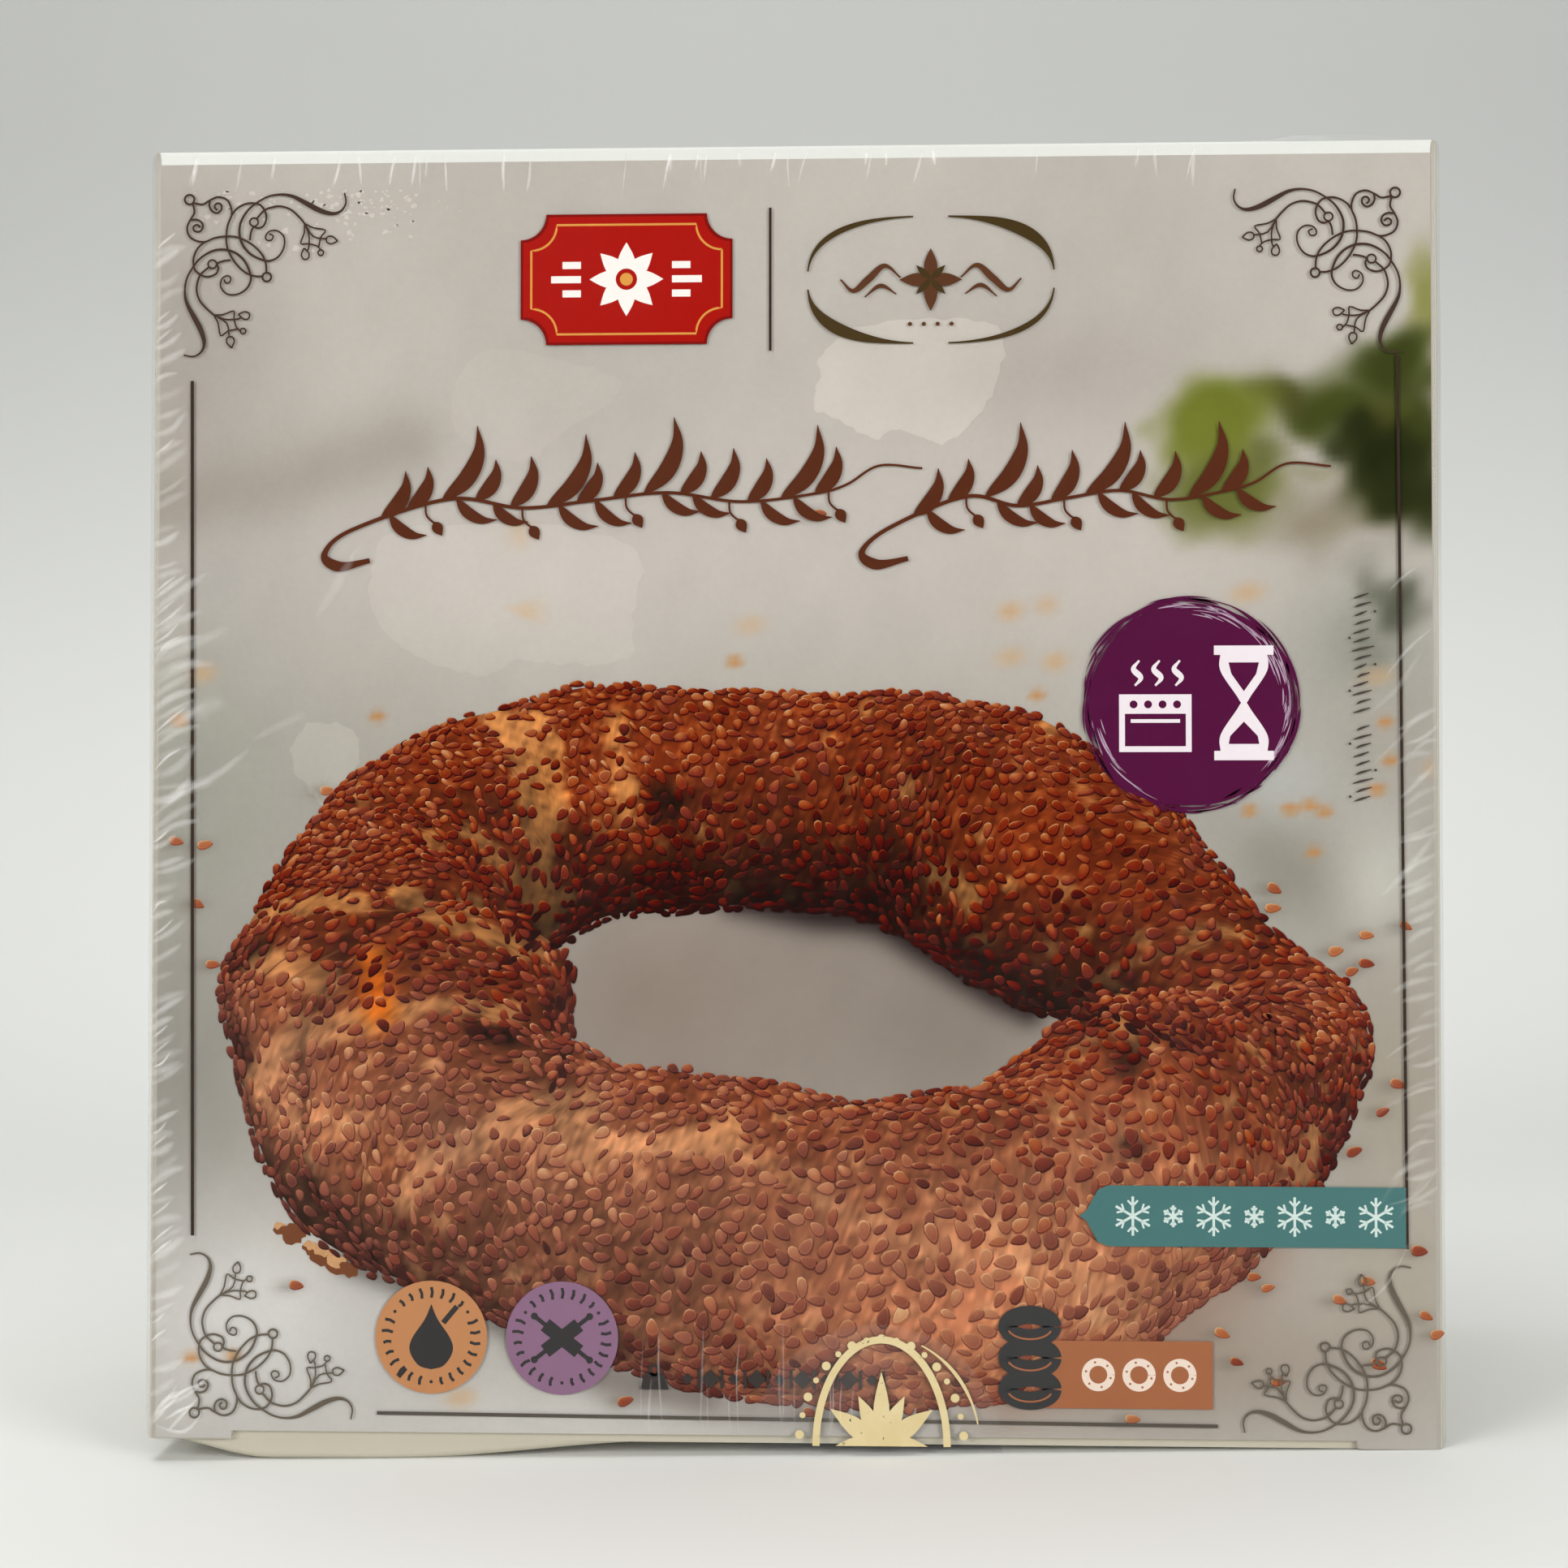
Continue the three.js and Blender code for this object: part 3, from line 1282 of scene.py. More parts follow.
class Layer:
    """Flat shapes on one panel, gathered into one piece of print."""

    def __init__(self, name: str, lift: float, panel: Panel = Panel.FRONT) -> None:
        """Starts an empty layer.

        Args:
            name: The name of the piece that it becomes.
            lift: How far it lies off the panel, in millimetres.
            panel: The panel it lies on.
        """
        self.name = name
        self.panel = panel
        self.lift = lift
        self.places: list[Array] = []
        self.faces: list[tuple[int, ...]] = []
        self.inks: list[int] = []
        self.count = 0

    def add(self, places: Array, faces: Iterable[Sequence[int]], ink: int = 0, lift: float = 0.0) -> None:
        """Adds a shape.

        Args:
            places: Its points, as (u, v) or (u, v, extra lift) rows.
            faces: Its faces, counterclockwise as seen from outside.
            ink: Which of the layer's inks it is printed in.
            lift: How much higher it lies than the layer.
        """
        places = np.asarray(places, float)
        if places.shape[1] == 2:
            places = np.column_stack([places, np.zeros(len(places))])
        shifted = [tuple(int(i) + self.count for i in face) for face in faces]
        self.places.append(places + (0, 0, lift))
        self.faces.extend(shifted)
        self.inks.extend([ink] * len(shifted))
        self.count += len(places)

    def polygon(self, outline: Array, ink: int = 0, lift: float = 0.0) -> None:
        """Adds a filled outline.

        Args:
            outline: Its points, either way round.
            ink: Its ink.
            lift: How much higher it lies than the layer.
        """
        outline = np.asarray(outline, float)
        self.add(outline[::-1] if is_clockwise(outline) else outline, [range(len(outline))], ink, lift)

    def box(self, low: Point, high: Point, ink: int = 0, lift: float = 0.0) -> None:
        """Adds a filled rectangle between two corners."""
        self.polygon([low, (high[0], low[1]), high, (low[0], high[1])], ink, lift)

    def ribbon(self, line: Array, widths: float | Array, ink: int = 0, lift: float = 0.0) -> None:
        """Adds a stroke along a line.

        Args:
            line: Its points.
            widths: Its width, or its width at each point.
            ink: Its ink.
            lift: How much higher it lies than the layer.
        """
        line = np.asarray(line, float)
        way = ways(line)
        side = np.stack([-way[:, 1], way[:, 0]], 1) * (np.broadcast_to(widths, len(line)) / 2)[:, None]
        count = len(line)
        faces = [(i + count, i + count + 1, i + 1, i) for i in range(count - 1)]
        self.add(np.concatenate([line + side, line - side]), faces, ink, lift)

    def rule(self, start: Point, end: Point, width: float, ink: int = 0, lift: float = 0.0) -> None:
        """Adds a straight stroke."""
        self.ribbon(np.linspace(start, end, 3), width, ink, lift)

    def ring(
        self,
        middle: Point,
        radius: float,
        width: float,
        ink: int = 0,
        lift: float = 0.0,
        tall: float = 1.0,
        degrees: Point = (0, 360),
    ) -> None:
        """Adds a ring, or a part of one, of the given line width. tall stretches it upwards."""
        line = arc((0, 0), (radius, radius), degrees, 48) * (1, tall) + middle
        self.ribbon(line, width, ink, lift)

    def disc(self, middle: Point, radius: float, ink: int = 0, lift: float = 0.0, sides: int = 40) -> None:
        """Adds a filled disc."""
        self.polygon(arc(middle, (radius, radius), (0, 360), sides)[:-1], ink, lift)

    def make(self, slot: Slot, *finishes: Finish) -> Piece:
        """Makes the piece from what was added.

        Args:
            slot: Its slot in the record.
            finishes: The layer's inks.

        Returns:
            The piece.
        """
        places = np.concatenate(self.places)
        points = self.panel.lay(places[:, 0], places[:, 1], places[:, 2] + self.lift)
        piece = Bench.from_mesh(self.name, points, self.faces)
        inks = self.inks
        made = [ink.make() for ink in finishes]
        return Bench.finish(piece, slot, made, None, lambda face: inks[face.index])


# ---------------------------------------------------------------- the printed ground


@dataclass(frozen=True)
class Blob:
    """A soft spot of colour on the printed ground."""

    u: float
    v: float
    across: float
    up: float
    colour: Triple
    strength: float
    turn: float = 0.0
    edge: float = 1.0

    def over(self, ground: Array, u: Array, v: Array) -> Array:
        """Lays the spot over the ground.

        Args:
            ground: The ground's screen colours.
            u: Where they lie on the panel, to the right.
            v: Where they lie on the panel, upwards.

        Returns:
            The new colours.
        """
        angle = math.radians(self.turn)
        x, y = u - self.u, v - self.v
        along = (x * math.cos(angle) + y * math.sin(angle)) / self.across
        beside = (y * math.cos(angle) - x * math.sin(angle)) / self.up
        share = self.strength * np.exp(-((along**2 + beside**2) ** self.edge))
        return blend(ground, self.colour, share[..., None])


@dataclass(frozen=True)
class Smear:
    """A soft stroke of colour along a smooth line on the panel."""

    line: tuple[Point, ...]
    width: float
    strength: float = 1.0
    colour: Triple = (0, 0, 0)

    def share(self, spots: Array) -> Array:
        """Says how much of the stroke shows.

        Args:
            spots: Places (u, v) on the panel.

        Returns:
            The share at each place.
        """
        knots = spline(self.line, 5)
        nearest = np.full(spots.shape[:-1], np.inf)
        for a, b in zip(knots, knots[1:]):
            way = b - a
            along = np.clip(((spots - a) @ way) / (way @ way), 0, 1)
            gap = np.linalg.norm(spots - a - along[..., None] * way, axis=-1)
            nearest = np.minimum(nearest, gap)
        return self.strength * np.exp(-((nearest / self.width) ** 2))

    def over(self, ground: Array, u: Array, v: Array) -> Array:
        """Lays the stroke over the ground's screen colours."""
        return blend(ground, self.colour, self.share(np.stack([u, v], -1))[..., None])


@dataclass
class FrontPrint:
    """The printed ground of the front: a pale tabletop, soft shadows, leaves out of focus, stray seeds."""

    cell: float = 0.9
    slot_margin: float = 0.3
    ground: GroundFinish = GroundFinish("front_ground_ink", "ground")
    top: Triple = (195, 188, 179)
    middle: Triple = (174, 169, 159)
    foot: Triple = (190, 185, 177)
    darker: float = 0.93

    def build(self) -> None:
        """Builds the sheet of print, with a gap for the slot at the tucked edge."""
        s = SIZE
        ears = (0.15, 0.6)
        u = np.linspace(-s.right + s.fold, s.right - s.fold, int(s.width / self.cell))
        rows = int((s.height - s.top_fold - s.relief) / self.cell)
        v = np.concatenate([ears, np.linspace(s.relief, s.height - s.top_fold, rows)])
        over_slot = np.abs(u[1:] + u[:-1]) / 2 < s.right - s.ear + self.slot_margin
        faces = [
            face for face in grid_faces(len(v), len(u))
            if face[0] >= len(ears) * len(u) or not over_slot[face[0] % len(u)]
        ]
        self.sheet("front_print", Panel.FRONT, u, v, faces)

    def sheet(self, name: str, panel: Panel, u: Array, v: Array, faces: list[list[int]]) -> None:
        """Lays one painted sheet of print.

        Args:
            name: The piece's name.
            panel: The panel that it lies on.
            u: The places of its points across the panel.
            v: The heights of its rows of points.
            faces: The numbers of each face's points.
        """
        uu, vv = (grid.ravel() for grid in np.meshgrid(u, v))
        piece = Bench.from_mesh(name, panel.lay(uu, vv, np.full(uu.size, LIFT.ground)), faces)
        self.colour(piece, uu, vv, np.ones(uu.size))
        Bench.finish(piece, Slot.INK, [self.ground.make()], 30.0)

    def colour(self, piece: Piece, u: Array, v: Array, sheen_paler: Array) -> None:
        """Gives a piece's points the ground's colours at (u, v), painted lighter by a share of their own for
        the film's sheen.
        """
        Bench.tint(piece, self.ground.attribute, linear(self.paint(u, v) * sheen_paler[:, None]))

    @staticmethod
    def _shades() -> Iterable[Blob | Smear]:
        """Lists the soft lights and shadows on the table.

        Yields:
            The marks, from the lowest to the topmost.
        """
        yield Blob(-84, 150, 15, 27, (172, 165, 156), 0.8)
        yield Smear(((-92, 130), (-74, 133), (-54, 139)), 5.5, 0.85, (157, 149, 138))
        yield Blob(-80, 121, 12, 6, (180, 175, 169), 0.7)
        yield Blob(-20, 124, 60, 16, (204, 196, 188), 0.75)
        yield Blob(38, 128, 26, 18, (206, 197, 188), 0.75)
        yield Blob(38, 149, 22, 8, (182, 174, 165), 0.75)
        yield Blob(-84, 92, 13, 20, (160, 158, 147), 0.85)
        yield Blob(-86, 52, 12, 20, (150, 146, 137), 0.9)
        yield Blob(-85, 30, 9, 9, (176, 172, 165), 0.6)
        yield Blob(-66, 12, 24, 13, (203, 200, 195), 0.85)
        yield Blob(-76, 18, 14, 13, (222, 219, 214), 0.85)
        yield Blob(-34, 3, 40, 5, (210, 207, 200), 0.85)
        yield Blob(79, 111, 9, 8, (154, 154, 143), 0.8)
        yield Blob(81, 98, 8, 9, (172, 166, 155), 0.7)
        yield Blob(69, 80, 9, 6, (146, 142, 130), 0.8, -40)
        yield Blob(68, 92, 8, 5, (190, 192, 188), 0.6)
        yield Blob(82, 78, 6, 9, (203, 200, 190), 0.85)
        yield Blob(82, 50, 10, 17, (169, 159, 143), 0.9)
        yield Blob(84, 24, 12, 11, (178, 169, 152), 0.8)
        yield Blob(62, 12, 26, 10, (163, 150, 135), 0.85)
        yield Smear(((30, 8), (50, 15), (64, 27)), 6, 0.75, (156, 130, 113))
        yield Smear(((-62, 24.6), (-53, 21.2), (-46, 18.6), (-37, 14.6)), 1.9, 0.8, (106, 101, 94))
        yield Smear(((-37, 13.5), (-26, 9.6), (-12, 6.6)), 2.3, 0.6, (112, 104, 98))
        yield Smear(((-26, 8), (-10, 5.4), (6, 4.4)), 2.4, 0.45, (128, 118, 110))
        yield Blob(0, 60, 42, 22, (151, 139, 128), 0.97, 0, 2.0)
        yield Blob(-18, 62, 12, 12, (149, 131, 119), 0.7)
        yield Blob(24, 56, 10, 8, (138, 127, 115), 0.6)
        yield Smear(
            ((-7, 75.5), (3, 73.5), (12, 72.5), (19, 68.5), (27, 63.5), (33, 60.5)), 2.5, 0.95, (44, 33, 32))

    @staticmethod
    def _leaves() -> Iterable[Blob]:
        """Lists the leaves out of focus at the right.

        Yields:
            The marks, from the lowest to the topmost.
        """
        light, olive, dark = (112, 120, 38), (104, 108, 46), (36, 42, 8)
        yield Blob(74, 128.6, 9, 4.5, (138, 127, 102), 0.75, 8)
        yield Blob(88.6, 158.5, 2.6, 8, (122, 124, 44), 0.75, -4, 1.5)
        yield Blob(84, 149.5, 7.2, 5.0, (52, 60, 12), 0.97, 8, 2.2)
        yield Blob(75.5, 143.5, 8, 5.0, (62, 70, 18), 0.97, -4, 2.0)
        yield Blob(67.8, 145.8, 4.6, 2.8, (70, 70, 24), 0.85, -16, 1.6)
        yield Blob(86, 141, 6.6, 6, (54, 60, 15), 0.95, 0, 2.0)
        yield Blob(84, 133.5, 7.0, 7.0, dark, 0.97, 20, 2.2)
        yield Blob(88.6, 130, 3.6, 4.4, dark, 0.8, 0, 1.6)
        yield Blob(80.4, 138.4, 5.4, 4.8, (32, 38, 6), 0.97, 0, 2.2)
        yield Blob(82.5, 143.3, 3.6, 1.8, (84, 86, 34), 0.6, 0, 1.5)
        yield Blob(60.0, 132.6, 8.6, 6.8, olive, 0.95, 8, 2.2)
        yield Blob(58.8, 142.2, 8.9, 6.3, light, 0.98, 20, 2.6)
        yield Blob(57.5, 140.6, 4.2, 3.0, (126, 132, 52), 0.5, 10, 1.6)
        yield Blob(66.5, 137.6, 3.4, 2.6, (92, 96, 40), 0.7, 0, 1.6)
        yield Blob(72.4, 134.6, 4.0, 1.6, (158, 153, 126), 0.8, 4, 1.6)
        yield Blob(84.6, 116.6, 3.4, 3.4, (82, 84, 68), 0.9, 30, 1.5)
        yield Blob(80.9, 119.6, 3.6, 2.4, (116, 117, 101), 0.65, -30)
        yield Blob(80, 110.6, 3.4, 3.4, (125, 126, 112), 0.6)

    def paint(self, u: Array, v: Array) -> Array:
        """Paints the ground.

        Args:
            u: Places across the panel.
            v: Their heights.

        Returns:
            A screen colour for each place.
        """
        up = ease(v, 76, 60)[:, None]
        down = (1 - ease(v, 0, 60))[:, None]
        colour = blend(blend(self.middle, self.top, up), self.foot, down)
        wavy = u + 1.1 * Ripples(6, 9).at(u, v), v + 1.1 * Ripples(7, 9).at(u, v)
        for soft in self._shades():
            colour = soft.over(colour, u, v)
        for leaf in self._leaves():
            colour = leaf.over(colour, *wavy)
        for seed in self._soft_seeds():
            colour = seed.over(colour, u, v)
        drift = Ripples(3, 60).at(u, v) * 2.5 + Ripples(4, 9).at(u, v) * 1.2
        return (colour + drift[:, None]) * self.darker

    @staticmethod
    def _soft_seeds() -> Iterable[Blob]:
        """Lists the seeds out of focus at the back of the table, and the soft shadows of the nearer ones.

        Yields:
            The marks.
        """
        draw = np.random.default_rng(11)
        far = ((-36.2, 115.9), (-5.5, 113.8), (30.7, 115.6), (35.8, 116.5), (63.5, 118.1), (-82.7, 107.2),
               (30.7, 109.2), (36.9, 108.6), (-37.9, 127.0), (-45.9, 6.0), (81.3, 106.5), (89.7, 93.9))
        near = (
            (-57.9, 101.1), (-7.7, 108.7), (34.4, 103.9), (72.0, 88.6), (69.3, 88.1), (63.7, 87.9),
            (-86.0, 100.6), (82.4, 100.1), (83.0, 94.8), (81.2, 90.8), (74.0, 87.7), (72.5, 82.1),
            (-83.8, 11.3), (-78.0, 11.6))
        for u, v in far:
            yield Blob(u, v, draw.uniform(1.6, 2.4), 1.3, (206, 168, 124), draw.uniform(0.5, 0.8), 8, 1.3)
        for u, v in near:
            yield Blob(u, v, draw.uniform(1.0, 1.3), 0.8, (196, 134, 70), 0.85, -6, 1.5)
        for u, v in LooseSeeds.spots:
            yield Blob(u - 0.9, v - 0.3, 1.9, 0.9, (116, 106, 94), 0.5, 4)


@dataclass
class WallGrounds(FrontPrint):
    """The pale printed ground of the back and the sides. The leaves run on round the right edge."""

    cell: float = 3.0
    ground: GroundFinish = GroundFinish("wall_ground_ink", "wall_ground")
    top: Triple = (202, 196, 186)
    foot: Triple = (192, 186, 176)
    leaves: tuple[Blob, ...] = (
        Blob(-37, 133, 9, 8, (40, 46, 12), 0.9, 20, 1.8),
        Blob(-36, 148, 11, 7, (56, 62, 18), 0.9, 8, 1.8),
        Blob(-27, 141, 9, 5, (98, 104, 44), 0.6, -20, 1.6),
        Blob(-35, 160, 8, 6, (112, 118, 44), 0.6),
    )
    panel: Panel = Panel.BACK

    def build(self) -> None:
        """Builds the three sheets of print."""
        s = SIZE
        deep, wide = s.back - s.fold, s.right - s.fold
        v = np.linspace(s.relief + 0.2, s.height - s.top_fold, int(s.height / self.cell))
        for self.panel, half in ((Panel.BACK, wide), (Panel.LEFT, deep), (Panel.RIGHT, deep)):
            u = np.linspace(-half, half, int(2 * half / self.cell))
            self.sheet(f"ground_{self.panel.value}", self.panel, u, v, grid_faces(len(v), len(u)))

    def paint(self, u: Array, v: Array) -> Array:
        """Paints the ground.

        Args:
            u: Places across the panel.
            v: Their heights.

        Returns:
            A screen colour for each place.
        """
        colour = blend(self.foot, self.top, ease(v, 20, 130)[:, None])
        for leaf in self.leaves if self.panel is Panel.RIGHT else ():
            colour = leaf.over(colour, u, v)
        return colour + Ripples(3, 60).at(u, v)[:, None] * 2


@dataclass
class ClingSheenPatches:
    """Places where the film clings to the board, with crisp edges, where the print is painted lighter for the
    film's milkiness and sheen.
    """

    ground: FrontPrint = field(
        default_factory=lambda: FrontPrint(ground=GroundFinish("cling_sheen_ink", "paler_ground")))
    waviness: float = 0.3
    specks: int = 150
    speck_at: tuple[float, ...] = (-76, -66, -58, -60)
    speck_sheen_paler: float = 1.10
    # Each outline comes with how much lighter the print under it is painted, for the film's sheen.
    outlines: tuple[tuple[float, tuple[Point, ...]], ...] = (
        (1.035, ((-56, 127), (-58.6, 122), (-59, 117), (-56, 112), (-50.4, 108.6), (-42.6, 107), (-38, 109),
                (-31.4, 108.3), (-22.8, 109.2), (-22, 115), (-21.2, 124), (-31, 127.6), (-42.6, 128.2))),
        (1.02, ((-47, 148), (-42.6, 152.6), (-33.4, 151.5), (-23.8, 148), (-27.2, 143.7), (-32.3, 140.7),
                 (-36.3, 137.2), (-42.6, 137.8), (-47, 141.2))),
        (1.075, ((5, 152.4), (4, 148), (3.6, 144), (7.4, 142.2), (11.4, 139.8), (15.4, 141.2), (21, 139.2),
                (25.6, 142.2), (29, 148), (29.6, 154.8), (23.4, 156.6), (11.8, 156))),
        (1.06, ((-66.0, 100.3), (-62.5, 99.7), (-60.4, 97.4), (-60.8, 94.0), (-62.5, 91.7), (-64.2, 89.5),
                (-65.6, 88.6), (-67.6, 90.6), (-69.4, 93.5), (-69.9, 96.3), (-68.8, 99.2))),
    )

    def build(self) -> None:
        """Builds the patches and a scatter of specks near the top left corner, all painted lighter."""
        self.places: list[Array] = []
        self.sheen_paler: list[Array] = []
        self.faces: list[tuple[int, ...]] = []
        self.count = 0
        for number, (sheen_paler, outline) in enumerate(self.outlines):
            edge = spline(outline, 6, closed=True)
            wave = [Ripples(seed + number, 2.2).at(*edge.T) for seed in (160, 170)]
            self._patch(edge + np.stack(wave, 1) * self.waviness, sheen_paler, 5)
        draw = np.random.default_rng(71)
        for _ in range(self.specks):
            u, v = draw.choice(self.speck_at) + draw.normal(0, 5), 175.5 - abs(draw.normal(0, 3.4))
            angle = np.sort(draw.uniform(0, 2 * math.pi, 9))
            size = draw.uniform(0.08, 0.5) * (2.2 if draw.random() < 0.1 else 1) * draw.uniform(0.5, 1.3, 9)
            speck = np.stack([u + size * np.cos(angle), v + size * 0.8 * np.sin(angle)], 1)
            self._patch(speck, self.speck_sheen_paler, 1)
        places = np.concatenate(self.places)
        points = Panel.FRONT.lay(places[:, 0], places[:, 1], np.full(len(places), LIFT.cling_sheen))
        piece = Bench.from_mesh("film_cling_sheen_patches", points, self.faces)
        self.ground.colour(piece, places[:, 0], places[:, 1], np.concatenate(self.sheen_paler))
        Bench.finish(piece, Slot.INK, [self.ground.ground.make()])

    def _patch(self, edge: Array, sheen_paler: float, rings: int) -> None:
        """Adds one patch as rings about its middle.

        Args:
            edge: Its outline, counterclockwise or clockwise.
            sheen_paler: How much lighter than the ground it is painted, for the film's sheen.
            rings: How many rings of faces it has.
        """
        if is_clockwise(edge):
            edge = edge[::-1]
        middle = edge.mean(0)
        n = len(edge)
        shares = np.linspace(0, 1, rings + 1)[1:]
        places = np.concatenate([middle[None], *(middle + (edge - middle) * share for share in shares)])
        first = self.count + 1
        for i in range(n):
            j = (i + 1) % n
            self.faces.append((self.count, first + i, first + j))
            for low in range(first, first + (rings - 1) * n, n):
                self.faces.append((low + i, low + n + i, low + n + j, low + j))
        self.places.append(places)
        self.sheen_paler.append(np.full(len(places), sheen_paler))
        self.count += len(places)


# ---------------------------------------------------------------- the pictured bread


@dataclass(frozen=True)
class RingShape:
    """The pictured bread ring: two strands of dough wound into an uneven ring, seen from above its front.

    A push is a spot (u, v) of the outline, how far it is moved and how far round it the move reaches.
    """

    radius: float = 65.25
    half_width: float = 18.7
    half_height: float = 17.3
    tilt: float = 0.49
    distance: float = 1164.0
    middle: Point = (1.23, 44.56)
    bends: tuple[tuple[int, float, float], ...] = (
        (2, -0.070, -0.074), (3, 0.050, 0.011), (4, 0.025, 0.035), (5, 0.033, 0.0145))
    swellings: tuple[tuple[int, float, float], ...] = (
        (1, -0.150, -0.106), (2, -0.070, -0.006), (3, -0.137, -0.060), (4, -0.055, -0.005),
        (5, -0.032, -0.0565))
    pushes: tuple[tuple[float, float, float, float, float], ...] = (
        (-42, 101, 1.0, -1.8, 12), (-69, 84, 1.3, -1.0, 10), (-4, 106, 0, -1.5, 18), (-77, 47, 1.8, 0, 9),
        (52, 90, 0.8, 0.5, 8), (66, 74, -0.6, -0.4, 5), (79, 62, 1.9, 0.4, 9), (79, 45, -2.2, 0, 9),
        (58, 20, -1.0, 1.4, 8), (-31, 62, 1.6, 0, 9), (-35, 70, 2.4, 0.6, 6), (-5, 51, 0, 1.0, 10),
        (-12, 79, 0, -0.8, 10))
    turns: int = 4
    crease_start: float = 0.5
    crease_depth: float = 0.085
    lumps: Ripples = Ripples(21, 1.1)

    @staticmethod
    def _waves(waves: Iterable[tuple[int, float, float]], phi: Array) -> Array:
        """1 plus a few waves round the ring."""
        return 1 + sum(c * np.cos(k * phi) + s * np.sin(k * phi) for k, c, s in waves)

    def crease(self, phi: Array, psi: Array) -> Array:
        """Says how deep in a crease between the strands places lie.

        Args:
            phi: Angles round the ring.
            psi: Angles round the strand.

        Returns:
            Their depths, from 0 to 1.
        """
        wander = 0.35 * np.sin(3 * phi + 1.0) + 0.2 * np.sin(7 * phi)
        phase = psi + self.turns * phi + self.crease_start + wander
        left = 0.25 + 0.75 * np.exp(-(((np.mod(phi, 2 * math.pi) - 3.2) / 1.05) ** 4))
        right = 0.6 * np.exp(-(((np.mod(phi + 1, 2 * math.pi) - 1.1) / 0.35) ** 2))
        return np.exp(-((np.sin(phase) / 0.30) ** 2)) * np.maximum(left, right)

    def place(self, phi: Array, psi: Array) -> Array:
        """Finds places on the dough.

        Args:
            phi: Angles round the ring.
            psi: Angles round the strand.

        Returns:
            The places, in millimetres.
        """
        lumps = self.lumps.at(phi * 3.4, psi) * 0.035
        size = self._waves(self.swellings, phi) * (1 - self.crease_depth * self.crease(phi, psi) + lumps)
        radius = self.radius * self._waves(self.bends, phi) + self.half_width * size * np.cos(psi)
        height = self.half_height * (self._waves(self.swellings, phi) + size * np.sin(psi))
        return np.stack([radius * np.cos(phi), radius * np.sin(phi), height], -1)

    def slopes(self, phi: Array, psi: Array) -> tuple[Array, Array, Array]:
        """Finds how the dough lies at some places.

        Args:
            phi: Angles round the ring.
            psi: Angles round the strand.

        Returns:
            The unit directions along phi and psi, and the normals.
        """
        step = 2e-3
        along = self.place(phi + step, psi) - self.place(phi - step, psi)
        round_it = self.place(phi, psi + step) - self.place(phi, psi - step)
        normal = np.cross(along, round_it)
        return tuple(
            way / (np.linalg.norm(way, axis=-1, keepdims=True) + 1e-12) for way in (along, round_it, normal))

    @property
    def to_eye(self) -> Array:
        """The direction to the eye that sees the ring."""
        return np.array([0.0, -math.cos(self.tilt), math.sin(self.tilt)])

    def project(self, places: Array) -> Array:
        """Draws places on the panel.

        Args:
            places: The places.

        Returns:
            Their spots (u, v).
        """
        away = self.distance + places[..., 1] * math.cos(self.tilt) - places[..., 2] * math.sin(self.tilt)
        up = places[..., 2] * math.cos(self.tilt) + places[..., 1] * math.sin(self.tilt)
        u = self.middle[0] + self.distance * places[..., 0] / away
        v = self.middle[1] + self.distance * up / away
        shares = [(np.exp(-((u - p) ** 2 + (v - q) ** 2) / r**2), a, b) for p, q, a, b, r in self.pushes]
        return np.stack([u + sum(k * a for k, a, _ in shares), v + sum(k * b for k, _, b in shares)], -1)

    def seen(self, phi: Array) -> tuple[Array, Array]:
        """Finds what is seen of the strand.

        Args:
            phi: Angles round the ring.

        Returns:
            The first and the last psi that is seen, for each phi.
        """
        psi = np.radians(np.arange(-90, 271))
        p, q = np.meshgrid(phi, psi, indexing="ij")
        facing = self.slopes(p, q)[2] @ self.to_eye > 0
        middle = np.argmax(np.convolve(facing.mean(0), np.ones(9), "same"))
        first = np.empty(len(phi))
        last = np.empty(len(phi))
        for row, seen in enumerate(facing):
            centre = middle if seen[middle] else int(np.flatnonzero(seen).mean())
            before = np.flatnonzero(~seen[:centre])
            after = np.flatnonzero(~seen[centre:])
            first[row] = psi[before[-1] + 1 if len(before) else 0]
            last[row] = psi[centre + after[0] - 1 if len(after) else -1]
        return first, last


RING = RingShape()


